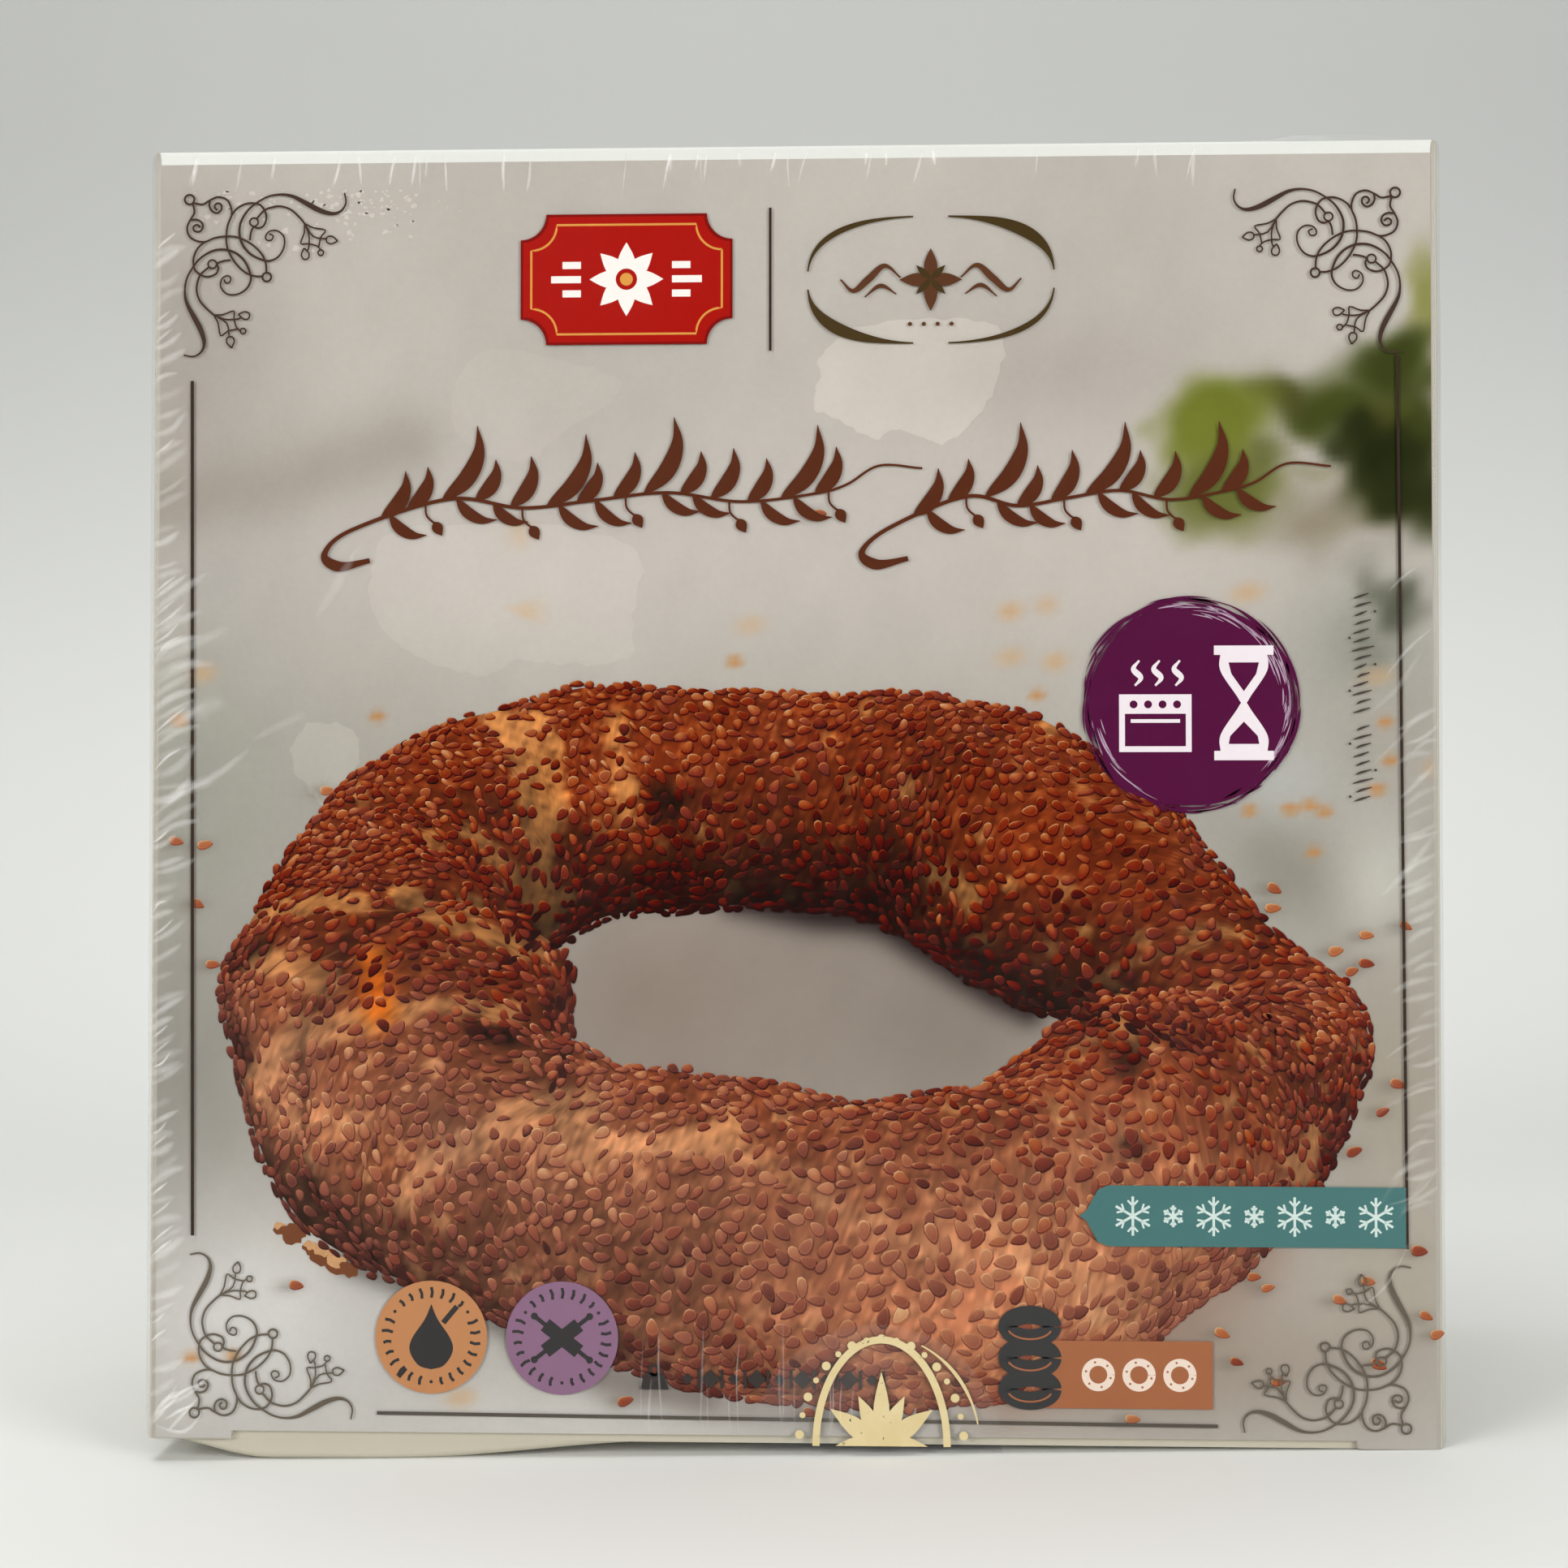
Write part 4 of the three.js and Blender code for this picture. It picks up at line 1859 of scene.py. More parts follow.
@dataclass(frozen=True)
class Baking:
    """How the pictured dough is lit, browned and strewn."""

    light: Triple = (-0.10, -0.05, 0.95)
    blotches: Ripples = Ripples(31, 16)
    patches: Ripples = Ripples(33, 9)
    specks: Ripples = Ripples(32, 5)
    creases: tuple[Smear, ...] = (
        Smear(((-41.8, 101.4), (-37.9, 96.3), (-36.2, 89.5), (-34.7, 83.2), (-34.3, 76.4), (-33.3, 70.7)),
            1.7),
        Smear(((-36.2, 99.5), (-34.6, 93.4), (-33.8, 87.9)), 2.9),
        Smear(((-45.5, 85.3), (-42.1, 82.6), (-37.8, 78.1), (-34.9, 73.4)), 1.3, 0.9),
        Smear(((-24.5, 100.5), (-24.0, 94.0), (-23.0, 87.0)), 2.6, 0.5),
        Smear(((-54.7, 76.5), (-48.0, 72.4), (-41.8, 70.4), (-37.2, 68.2)), 1.5, 0.95),
        Smear(((-76.5, 72.4), (-71.6, 74.0), (-65.7, 75.2), (-60.5, 74.9)), 1.5),
        Smear(((-74.5, 66.8), (-69.8, 65.7), (-65.0, 63.6)), 2.6, 0.8),
        Smear(((-74.9, 50.5), (-71.9, 54.2), (-66.1, 56.8), (-60.4, 57.9), (-56.0, 60.0)), 2.0),
        Smear(((-52.1, 60.5), (-44.9, 60.5), (-38.8, 59.0)), 1.5, 0.7),
        Smear(((-53.9, 33.6), (-49.7, 38.8), (-44.6, 41.8), (-36.3, 46.1), (-28.7, 46.8)), 2.2, 0.9),
        Smear(((-72.0, 46.0), (-66.0, 44.0), (-60.0, 44.5)), 3.2, 0.5),
        Smear(((-30.9, 47.2), (-28.1, 42.9), (-21.9, 41.2), (-13.6, 41.7), (-7.7, 43.7)), 1.7),
        Smear(((-38.0, 44.0), (-33.0, 41.0), (-27.0, 38.5)), 2.2, 0.5),
        Smear(((-12.8, 42.6), (-1.5, 38.1), (8.7, 31.4), (19.9, 27.0)), 2.8, 0.42),
        Smear(((54.7, 71.2), (59.2, 71.8), (64.2, 70.0)), 1.0, 0.55),
        Smear(((20.0, 79.3), (23.4, 77.6), (25.6, 75.1)), 1.9, 0.85),
        Smear(((39.6, 61.3), (42.4, 64.7), (50.3, 67.7), (57.0, 69.2)), 1.1, 0.5),
        Smear(((45.8, 58.0), (48.0, 57.2)), 1.8, 0.8),
        Smear(((72.5, 44.1), (70.2, 37.4), (65.7, 31.8)), 1.8, 0.7),
        Smear(((28.0, 30.0), (38.0, 24.0), (46.0, 19.0)), 5.5, 0.4),
    )
    pockets: tuple[Smear, ...] = (
        Smear(((16.0, 76.6), (8.7, 74.5), (3.0, 74.0), (-6.0, 74.6)), 3.2, 0.5),
        Smear(((15.6, 80.0), (13.0, 84.5)), 2.6, 0.36),
        Smear(((-17.8, 89.9), (-16.6, 89.0)), 2.3, 0.75),
        Smear(((-44.0, 57.2), (-38.7, 56.0)), 1.4, 0.75),
        Smear(((48.0, 54.4), (46.5, 53.0)), 2.0, 0.6),
        Smear(((46.8, 41.7), (47.8, 41.0)), 1.6, 0.6),
        Smear(((-78.4, 66.0), (-74.0, 69.0)), 1.6, 0.55),
        Smear(((-78.4, 56.4), (-77.0, 53.0)), 2.0, 0.55),
        Smear(((-35.8, 94.0), (-36.9, 86.0)), 0.8, 0.25),
        Smear(((24.0, 69.0), (32.0, 63.0), (40.0, 58.0)), 2.4, 0.36),
        Smear(((-60.0, 23.0), (-40.0, 17.0), (-20.0, 11.0)), 3.0, 0.16),
    )
    glint: Smear = Smear(((-58.6, 67.0), (-57.4, 60.0)), 2.3)
    lights: tuple[Smear, ...] = (
        Smear(((-29.0, 89.0), (-24.0, 85.0)), 7.0, 0.38),
        Smear(((32.0, 80.0), (34.5, 79.0)), 6.0, 0.34),
        Smear(((-76.0, 62.0), (-74.0, 50.0), (-64.0, 48.0)), 7.0, 0.24),
        Smear(((-62.0, 36.0), (-50.0, 34.0)), 7.0, 0.14),
        Smear(((-34.0, 39.0), (-24.0, 37.5)), 6.0, 0.26),
        Smear(((-52.0, 26.0), (-30.0, 22.0), (0.0, 21.0), (18.0, 18.0), (32.0, 21.0)), 9.0, 0.22),
        Smear(((20.0, 92.0), (27.0, 96.0)), 5.0, -0.1),
        Smear(((58.0, 74.0), (62.0, 71.0)), 6.0, -0.14),
        Smear(((-62.0, 68.0), (-52.0, 67.0), (-45.0, 64.5)), 5.5, -0.2),
        Smear(((26.0, 40.0), (36.0, 38.0)), 6.0, -0.1),
        Smear(((-52.0, 78.0), (-48.0, 78.0)), 6.0, -0.10),
        Smear(((46.0, 57.0), (52.0, 53.0)), 7.0, -0.1),
        Smear(((52.0, 40.0), (66.0, 42.0)), 7.0, 0.16),
        Smear(((-22.0, 96.0), (-12.0, 94.0)), 6.0, 0.12),
        Smear(((-31.0, 46.4), (-28.0, 43.3), (-21.9, 41.6), (-14.0, 42.0)), 1.4, 0.1),
        Smear(((-68.0, 48.0), (-66.0, 40.0), (-58.0, 36.0)), 6.0, 0.14),
        Smear(((-73.0, 47.0), (-66.0, 43.0), (-57.0, 43.0)), 5.5, 0.22),
        Smear(((76.0, 58.0), (77.0, 50.0), (70.0, 40.0)), 4.5, 0.2),
        Smear(((-42.0, 52.0), (-34.0, 50.0)), 5.0, -0.14),
        Smear(((-56.0, 24.0), (-46.0, 23.0), (-36.0, 17.0)), 6.0, 0.34),
    )

    def lit(self, normal: Array, height: Array, spot: Array) -> Array:
        """Says how bright places are: bright high up and to the light, dark low down and in a pocket.

        Args:
            normal: Their normals.
            height: Their heights over the table.
            spot: Spots (u, v) on the panel.

        Returns:
            Their brightness.
        """
        light = np.array(self.light) / np.linalg.norm(self.light)
        direct = np.clip(normal @ light, -0.3, 1)
        front = self.front(spot)
        near_table = ease(height, -5.0, 17.0)
        back = (0.50 + 0.50 * direct) * (0.55 + 0.45 * near_table)
        shown = (0.86 + 0.14 * direct) * (0.80 + 0.20 * near_table)
        dark = sum(mark.share(spot) for mark in self.pockets)
        shift = 1 + sum(mark.share(spot) for mark in self.lights)
        return (back * (1 - front) + shown * front) * (1 - np.clip(dark, 0, 0.75)) * shift

    def front(self, spot: Array) -> Array:
        """How far a spot lies in the pale front stretch of the ring, from 0 to 1."""
        u, v = spot[..., 0], spot[..., 1]
        return ease(0.42 * np.minimum(u, 45) - 0.55 * np.maximum(u - 42, 0) - v, -48, 44)

    def pale(self, spot: Array) -> Array:
        """How far a spot lies in the palest dough, low at the right, from 0 to 1."""
        return ease(spot[..., 0] - 0.6 * spot[..., 1], -12, 34) * self.front(spot)

    def haze_and_reflection(self, spot: Array) -> Array:
        """Says how much painted reflection of the floor in the film dulls the print.

        Args:
            spot: Spots (u, v) on the panel.

        Returns:
            The share of painted reflection at each, from 0 to 1.
        """
        u, v = spot[..., 0], spot[..., 1]
        low = ease(-v - 0.25 * u, -66, 36)
        right = 0.17 * ease(u, 30, 24) * ease(-v, -80, 20)
        haze_and_reflection = 0.03 + 0.80 * low + right + 0.07 * self.blotches.at(u, v)
        return np.clip(haze_and_reflection * (1 - self.glint.share(spot)), 0, 1)

    def bare(self, spot: Array) -> Array:
        """Says how bare of seeds the dough is.

        Args:
            spot: Spots (u, v) on the panel.

        Returns:
            The bareness at each, from 0 to 1.
        """
        u, v = spot[..., 0], spot[..., 1]
        open_lines = sum(mark.share(spot) for mark in self.creases)
        patches = ease(self.patches.at(u, v) + 0.4 * self.specks.at(u, v), 0.35, 1.1)
        return np.clip(open_lines + (0.55 - 0.15 * self.front(spot)) * patches, 0, 1)


BAKING = Baking()


@dataclass
class BreadRing:
    """The ring's dough: a field of baked colour with lit and shaded sides."""

    columns: int = 860
    rows: int = 84
    dough: GroundFinish = GroundFinish("dough_ink", "dough")
    gap_deep: Triple = (116, 40, 9)
    # Dulled by a painted reflection of the floor in the film.
    gap_reflected: Triple = (126, 80, 58)
    gap_front: Triple = (158, 99, 70)
    gap_pale: Triple = (176, 110, 76)
    skin_deep: Triple = (184, 119, 62)
    # Dulled by a painted reflection of the floor in the film.
    skin_reflected: Triple = (178, 124, 90)
    skin_front: Triple = (192, 132, 94)
    skin_pale: Triple = (200, 144, 102)
    glint: Triple = (224, 108, 18)

    def build(self) -> None:
        """Builds the dough."""
        phi = np.linspace(0, 2 * math.pi, self.columns, endpoint=False)
        first, last = RING.seen(phi)
        share = (1 - np.cos(np.linspace(0, math.pi, self.rows))) / 2
        p = np.repeat(phi[:, None], self.rows, 1)
        q = first[:, None] + (last - first)[:, None] * share
        places = RING.place(p, q)
        spots = RING.project(places)
        nearness = 0.02 * (1 - np.sin(p))
        lifts = (LIFT.dough + nearness).ravel()
        points = Panel.FRONT.lay(spots[..., 0].ravel(), spots[..., 1].ravel(), lifts)
        faces = [(low, high, above, beside) for low, beside, above, high in grid_faces(*p.shape, closed=True)]
        piece = Bench.from_mesh("bread_dough", points, faces)
        self._face_outward(piece)
        colours = self._paint(spots, RING.slopes(p, q)[2], places[..., 2], RING.crease(p, q))
        Bench.tint(piece, self.dough.attribute, linear(colours.reshape(-1, 3)))
        Bench.finish(piece, Slot.INK, [self.dough.make()])

    @staticmethod
    def _face_outward(piece: Piece) -> None:
        """Turns the faces that look into the panel.

        Args:
            piece: The dough, before it is finished.
        """
        shape = bmesh.new()
        shape.from_mesh(piece.data)
        shape.normal_update()
        bmesh.ops.reverse_faces(shape, faces=[face for face in shape.faces if face.normal.y > 0])
        shape.to_mesh(piece.data)
        shape.free()

    def _paint(self, spots: Array, normal: Array, height: Array, crease: Array) -> Array:
        """Paints the dough.

        Args:
            spots: Places on the panel.
            normal: The dough's normals there.
            height: Its heights above the table.
            crease: How deep in a crease each place is.

        Returns:
            A screen colour for each place.
        """
        front, haze_and_reflection, pale = (part(spots)[..., None] for part in (BAKING.front, BAKING.haze_and_reflection, BAKING.pale))
        # The lower left is dulled by a painted reflection of the floor in the film.
        gap = blend(blend(self.gap_deep, self.gap_reflected, haze_and_reflection), self.gap_front, front)
        gap = blend(gap, self.gap_pale, pale)
        skin = blend(blend(self.skin_deep, self.skin_reflected, haze_and_reflection), self.skin_front, front)
        skin = blend(skin, self.skin_pale, pale)
        u, v = spots[..., 0], spots[..., 1]
        mottle = sum(Ripples(seed, length).at(u, v) * much
                     for seed, length, much in ((41, 4, 0.09), (42, 1.6, 0.13), (43, 14, 0.06)))
        bare = np.clip(ease(BAKING.bare(spots), 0.05, 0.65) + mottle * 1.2, 0, 1)
        colour = blend(gap, skin, bare[..., None])
        colour = blend(colour, self.glint, 0.9 * BAKING.glint.share(spots)[..., None])
        light = BAKING.lit(normal, height, spots) * (1 + mottle) * (1 - 0.3 * crease)
        return np.clip(colour * light[..., None], 4, 255)


class SeedPrint:
    """Printed sesame seeds, each with its dark edge, its lit rim and its flatter middle."""

    sides = 10
    cell = 3.0
    blunt = 0.38
    slim = 0.62
    inner = 0.72
    raised = 0.45
    light_way = (-0.35, 0.94)

    def __init__(self, name: str, lift: float, step: float, layers: int) -> None:
        """Starts a field of seeds.

        Args:
            name: The piece's name.
            lift: How far its lowest seeds lie off the panel, in millimetres.
            step: How much higher each layer lies than the one below.
            layers: How many layers there are at most.
        """
        self.name = name
        self.lift = lift
        self.step = step
        self.layers = layers
        self.points: list[Array] = []
        self.faces: list[tuple[int, ...]] = []
        self.map: list[Array] = []
        self.taken: dict[tuple[int, int], list[tuple[float, float, float, int]]] = {}
        self.count = 0

    def _outline(self, scale: float) -> Array:
        """Draws a seed's outline, blunt at one end.

        Args:
            scale: Its length.

        Returns:
            Its points.
        """
        angle = np.linspace(0, 2 * math.pi, self.sides, endpoint=False)
        across = self.slim * np.sin(angle) * (1 - self.blunt * np.cos(angle))
        return np.stack([np.cos(angle), across], 1) * scale / 2

    def _layer(self, spot: Array, reach: float) -> int:
        """Finds the lowest free layer above the seeds already under a spot, and takes it.

        Args:
            spot: The middle of a new seed.
            reach: How far it reaches.

        Returns:
            The layer's number.
        """
        i, j = int(spot[0] // self.cell), int(spot[1] // self.cell)
        under = [
            layer
            for a in (i - 1, i, i + 1)
            for b in (j - 1, j, j + 1)
            for x, y, r, layer in self.taken.get((a, b), ())
            if (x - spot[0]) ** 2 + (y - spot[1]) ** 2 < (r + reach) ** 2
        ]
        layer = min(max(under) + 1 if under else 0, self.layers - 1)
        self.taken.setdefault((i, j), []).append((float(spot[0]), float(spot[1]), reach, layer))
        return layer

    def add(
        self, spot: Array, frame: Array, tone: float, haze_and_reflection: float,
        edge: float, shine: float, deep: float, dome: float = 0.0,
    ) -> None:
        """Adds one seed.

        Args:
            spot: Its middle on the panel.
            frame: A 2 by 2 matrix that takes the unit outline to the panel.
            tone: Its brightness, from 0 to 1.
            haze_and_reflection: How much painted reflection of the floor in the film dulls the print there.
            edge: How much bigger its dark edge is than the seed.
            shine: How bright its lit rim is.
            deep: How dark its edge is.
            dome: From 0 for a dished seed with a lit rim to 1 for a plump one with a lit middle.
        """
        level = self.lift + self._layer(spot, float(np.linalg.norm(frame[0])) * 0.5) * self.step
        top = level + self.step * self.raised
        way = np.array(self.light_way)
        rim = self._outline(1.0) @ frame
        inner = self._outline(self.inner) @ frame
        side = rim @ way / (np.abs(rim @ way).max() + TINY)
        glow = shine * np.clip(side - 0.15, 0, 1)
        on_rim = tone + 0.06 * (1 - 2 * dome) + 0.08 * side + (1.6 - 1.2 * dome) * glow
        on_inner = tone - 0.09 + 0.13 * dome + 0.06 * side + (0.15 + 0.6 * dome) * glow
        in_middle = np.array([tone - 0.08 + dome * (0.10 + 0.6 * shine)])
        n = self.sides
        for shape, tones, height in (
            (rim * edge - way * 0.2, np.full(n, tone - deep), level),
            (rim, on_rim, top),
            (inner, on_inner, top),
            (np.array([[0.04, 0.05]]) @ frame, in_middle, top),
        ):
            self.points.append(np.column_stack([shape + spot, np.full(len(shape), height)]))
            self.map.append(np.column_stack([np.clip(tones, 0.01, 0.99), np.full(len(shape), haze_and_reflection)]))
        base = self.count
        faces = [tuple(range(base, base + n))]
        for i in range(n):
            j = (i + 1) % n
            faces.append((base + n + i, base + n + j, base + 2 * n + j, base + 2 * n + i))
            faces.append((base + 2 * n + i, base + 2 * n + j, base + 3 * n))
        mirrored = np.linalg.det(frame) < 0
        self.faces.extend(tuple(reversed(face)) if mirrored else face for face in faces)
        self.count += 3 * n + 1

    def make(self, crust: CrustFinish) -> Piece:
        """Makes the piece.

        Args:
            crust: Its finish.

        Returns:
            The piece.
        """
        places = np.concatenate(self.points)
        points = Panel.FRONT.lay(places[:, 0], places[:, 1], places[:, 2])
        piece = Bench.from_mesh(self.name, points, self.faces)
        tones = np.clip(np.concatenate(self.map), 0.002, 0.998)
        corners = np.empty(len(piece.data.loops), int)
        piece.data.loops.foreach_get("vertex_index", corners)
        layer = piece.data.uv_layers.new(name=crust.map_name)
        layer.uv.foreach_set("vector", tones[corners].ravel())
        return Bench.finish(piece, Slot.INK, [crust.make()])


@dataclass
class SeedCoat:
    """The sesame seeds that cover the ring."""

    tries: int = 60000
    spacing: float = 1.72
    length: float = 2.5
    proud: float = 0.45
    crust: CrustFinish = CrustFinish("seed_ink", "OFBake")

    def build(self) -> None:
        """Scatters the seeds and prints those that are seen, from the farthest to the nearest."""
        draw = np.random.default_rng(5)
        phi = draw.uniform(0, 2 * math.pi, self.tries)
        psi = draw.uniform(-math.pi / 2, 1.5 * math.pi, self.tries)
        self.places = RING.place(phi, psi)
        self.slopes = RING.slopes(phi, psi)
        spots = RING.project(self.places)
        clumps = ease(Ripples(35, 4.5).at(*spots.T), 0.7, 0.9)
        proud = (self.proud + 0.5 * clumps) * (1 - 0.5 * BAKING.front(spots))
        self.spots = spots = RING.project(self.places + self.slopes[2] * proud[:, None])
        self.front = BAKING.front(spots)
        ring = np.linspace(0, 2 * math.pi, 361)
        first, last = (np.interp(phi, ring, edge) for edge in RING.seen(ring))
        margin = 0.05
        shown = (psi > first - margin) & (psi < last + margin)
        want = 1 - 0.93 * ease(BAKING.bare(spots), 0.15, 0.7) - 0.06 * self.front
        chosen = self._thinned(np.flatnonzero(shown & (draw.random(self.tries) < want)))
        nearness = -self.places[chosen, 1] * math.cos(RING.tilt) + self.places[chosen, 2] * 0.47
        self.light = BAKING.lit(self.slopes[2], self.places[:, 2], spots)
        # How much a painted reflection of the floor in the film dulls each spot.
        self.haze_and_reflection = BAKING.haze_and_reflection(spots)
        self.pale = BAKING.pale(spots)
        self.lean = draw.uniform(-0.6, 0.6, self.tries)
        seeds = SeedPrint("bread_seeds", LIFT.seeds, 0.007, 24)
        for i in chosen[np.argsort(nearness)]:
            self._print(seeds, i, draw)
        log.info("%d seeds", len(chosen))
        seeds.make(self.crust)

    def _frame(self, i: int, angle: float, size: float) -> Array:
        """Foreshortens a seed as the eye sees it, though never to a sliver.

        Args:
            i: The seed's number.
            angle: How it is turned on the dough.
            size: Its length.

        Returns:
            A 2 by 2 matrix that takes the unit outline to the panel.
        """
        along, round_it, normal = (way[i] for way in self.slopes)
        first = along * math.cos(angle) + round_it * math.sin(angle)
        second = np.cross(normal, first) * math.cos(self.lean[i]) + normal * math.sin(self.lean[i])
        place = self.places[i]
        halves = (first * size * 0.5, second * size * 0.5)
        frame = np.array([RING.project(place + half) - RING.project(place - half) for half in halves])
        left, spans, right = np.linalg.svd(frame)
        return left @ np.diag(np.maximum(spans, (0.62 * size, 0.50 * size))) @ right

    def _print(self, seeds: SeedPrint, i: int, draw: np.random.Generator) -> None:
        """Prints one seed.

        Args:
            seeds: The print.
            i: The seed's number.
            draw: Where its own chances come from.
        """
        front, haze_and_reflection, light = self.front[i], self.haze_and_reflection[i], self.light[i]
        angle = draw.uniform(0, 2 * math.pi)
        size = self.length * draw.uniform(0.78, 1.14) * (0.88 + 0.14 * front)
        tone = 0.49 * light + (0.04 - 0.03 * haze_and_reflection) * front + 0.09 * self.pale[i]
        tone += draw.normal(0, 0.06 - 0.01 * front)
        tone += 0.12 * (draw.random() < 0.05) - 0.13 * (draw.random() < 0.16)
        shine = draw.uniform(0.12, 0.56) * (0.45 + 0.6 * light) * (1 - 0.35 * front) * (1 - 0.35 * haze_and_reflection)
        # The seed's own share of the painted reflection of the floor in the film.
        veil = float(np.clip(haze_and_reflection + draw.normal(0, 0.10), 0.01, 0.99))
        dome = draw.random() * (0.75 - 0.35 * front)
        deep = 0.30 - 0.08 * front
        seeds.add(self.spots[i], self._frame(i, angle, size), tone, veil, 1.12, shine, deep, dome)

    def _thinned(self, candidates: Array) -> Array:
        """Drops the seeds that lie too near another.

        Args:
            candidates: The numbers of those that may stay.

        Returns:
            The numbers of those that stay.
        """
        cell_size = 2.0
        kept: dict[tuple[int, int], list[int]] = {}
        chosen = []

        def apart(i: int, j: int, gap: float) -> bool:
            """Whether two seeds keep a gap on the dough, and half of it on the panel."""
            on_dough = ((self.places[i] - self.places[j]) ** 2).sum()
            return on_dough >= gap**2 and ((self.spots[i] - self.spots[j]) ** 2).sum() >= (gap * 0.5) ** 2

        for i in candidates:
            gap = self.spacing * (1 - 0.01 * self.front[i])
            x, y = (self.spots[i] // cell_size).astype(int)
            near = (j for a in (-1, 0, 1) for b in (-1, 0, 1) for j in kept.get((x + a, y + b), ()))
            if all(apart(i, j, gap) for j in near):
                kept.setdefault((x, y), []).append(i)
                chosen.append(i)
        return np.array(chosen)


@dataclass
class LooseSeeds:
    """Seeds and crumbs that lie round the ring on the pictured table."""

    spots = (
        (-65.0, 90.8), (-86.4, 83.7), (-82.3, 83.2), (-83.3, 74.9), (-81.1, 66.4), (-69.1, 21.6),
        (-22.9, 5.9), (-0.3, 7.0), (2.8, 4.5), (67.0, 77.2), (66.8, 74.5), (79.6, 70.8),
        (75.4, 68.6), (79.6, 66.9), (77.6, 65.8), (85.0, 72.1), (81.7, 46.5), (77.8, 41.0), (83.8, 50.3),
        (86.6, 27.4), (64.0, 23.7), (65.9, 22.2), (59.6, 15.9), (61.6, 12.0), (67.3, 9.3), (87.5, 18.5),
        (47.3, 4.0), (4.2, 129.5), (89.0, 16.0),
        (75.7, 20.6), (79.6, 23.2), (81.0, 11.8),
    )
    length: float = 2.15
    crust: CrustFinish = CrustFinish("loose_seed_ink", "OFBake")
    crumb: InkFinish = InkFinish("crumb_ink", shade(192, 146, 102), 0.3)
    crumb_side: InkFinish = InkFinish("crumb_side_ink", shade(112, 64, 36), 0.3)
    flakes = (
        (-71.4, 29.6, 1.1, 0.9, 0), (-69.7, 28.9, 1.9, 1.4, 1), (-68.3, 29.6, 1.2, 0.9, 1),
        (-67.0, 26.9, 1.4, 0.9, 0), (-65.2, 26.1, 2.1, 1.1, 0), (-63.5, 24.8, 2.0, 1.3, 0),
        (-61.7, 24.0, 1.5, 1.0, 1), (-65.8, 25.2, 1.5, 0.6, 1),
    )

    def build(self) -> None:
        """Prints them."""
        draw = np.random.default_rng(78)
        seeds = SeedPrint("loose_seeds", LIFT.loose_seeds, 0.01, 3)
        for spot in self.spots:
            size = self.length * draw.uniform(0.8, 1.05)
            frame = turned(np.diag([size, size * draw.uniform(0.72, 0.95)]), draw.uniform(-30, 30))
            # The fourth value is how much a painted reflection of the floor in the film dulls the seed.
            seeds.add(np.array(spot), frame, draw.uniform(0.5, 0.8), draw.uniform(0.25, 0.5), 1.06, 0.25, 0.2)
        seeds.make(self.crust)
        self._crumbs()

    def _crumbs(self) -> None:
        """A few flakes of crust at the ring's lower left, each (u, v, half width, half height, ink)."""
        draw = np.random.default_rng(79)
        layer = Layer("crust_crumbs", LIFT.crumbs)
        step = 0.008
        for number, (u, v, across, up, ink) in enumerate(self.flakes):
            angle = np.linspace(0, 2 * math.pi, 15, endpoint=False)
            size = draw.uniform(0.75, 1.15, 15)
            flake = turned(np.stack([across * size * np.cos(angle), up * size * np.sin(angle)], 1), -24)
            layer.polygon(flake + (u, v - 0.3), 1, step * number)
            layer.polygon(flake * (0.86, 0.7) + (u, v + 0.15), ink, step * (number + 0.5))
        layer.make(Slot.INK, self.crumb, self.crumb_side)


# ---------------------------------------------------------------- ornaments and labels


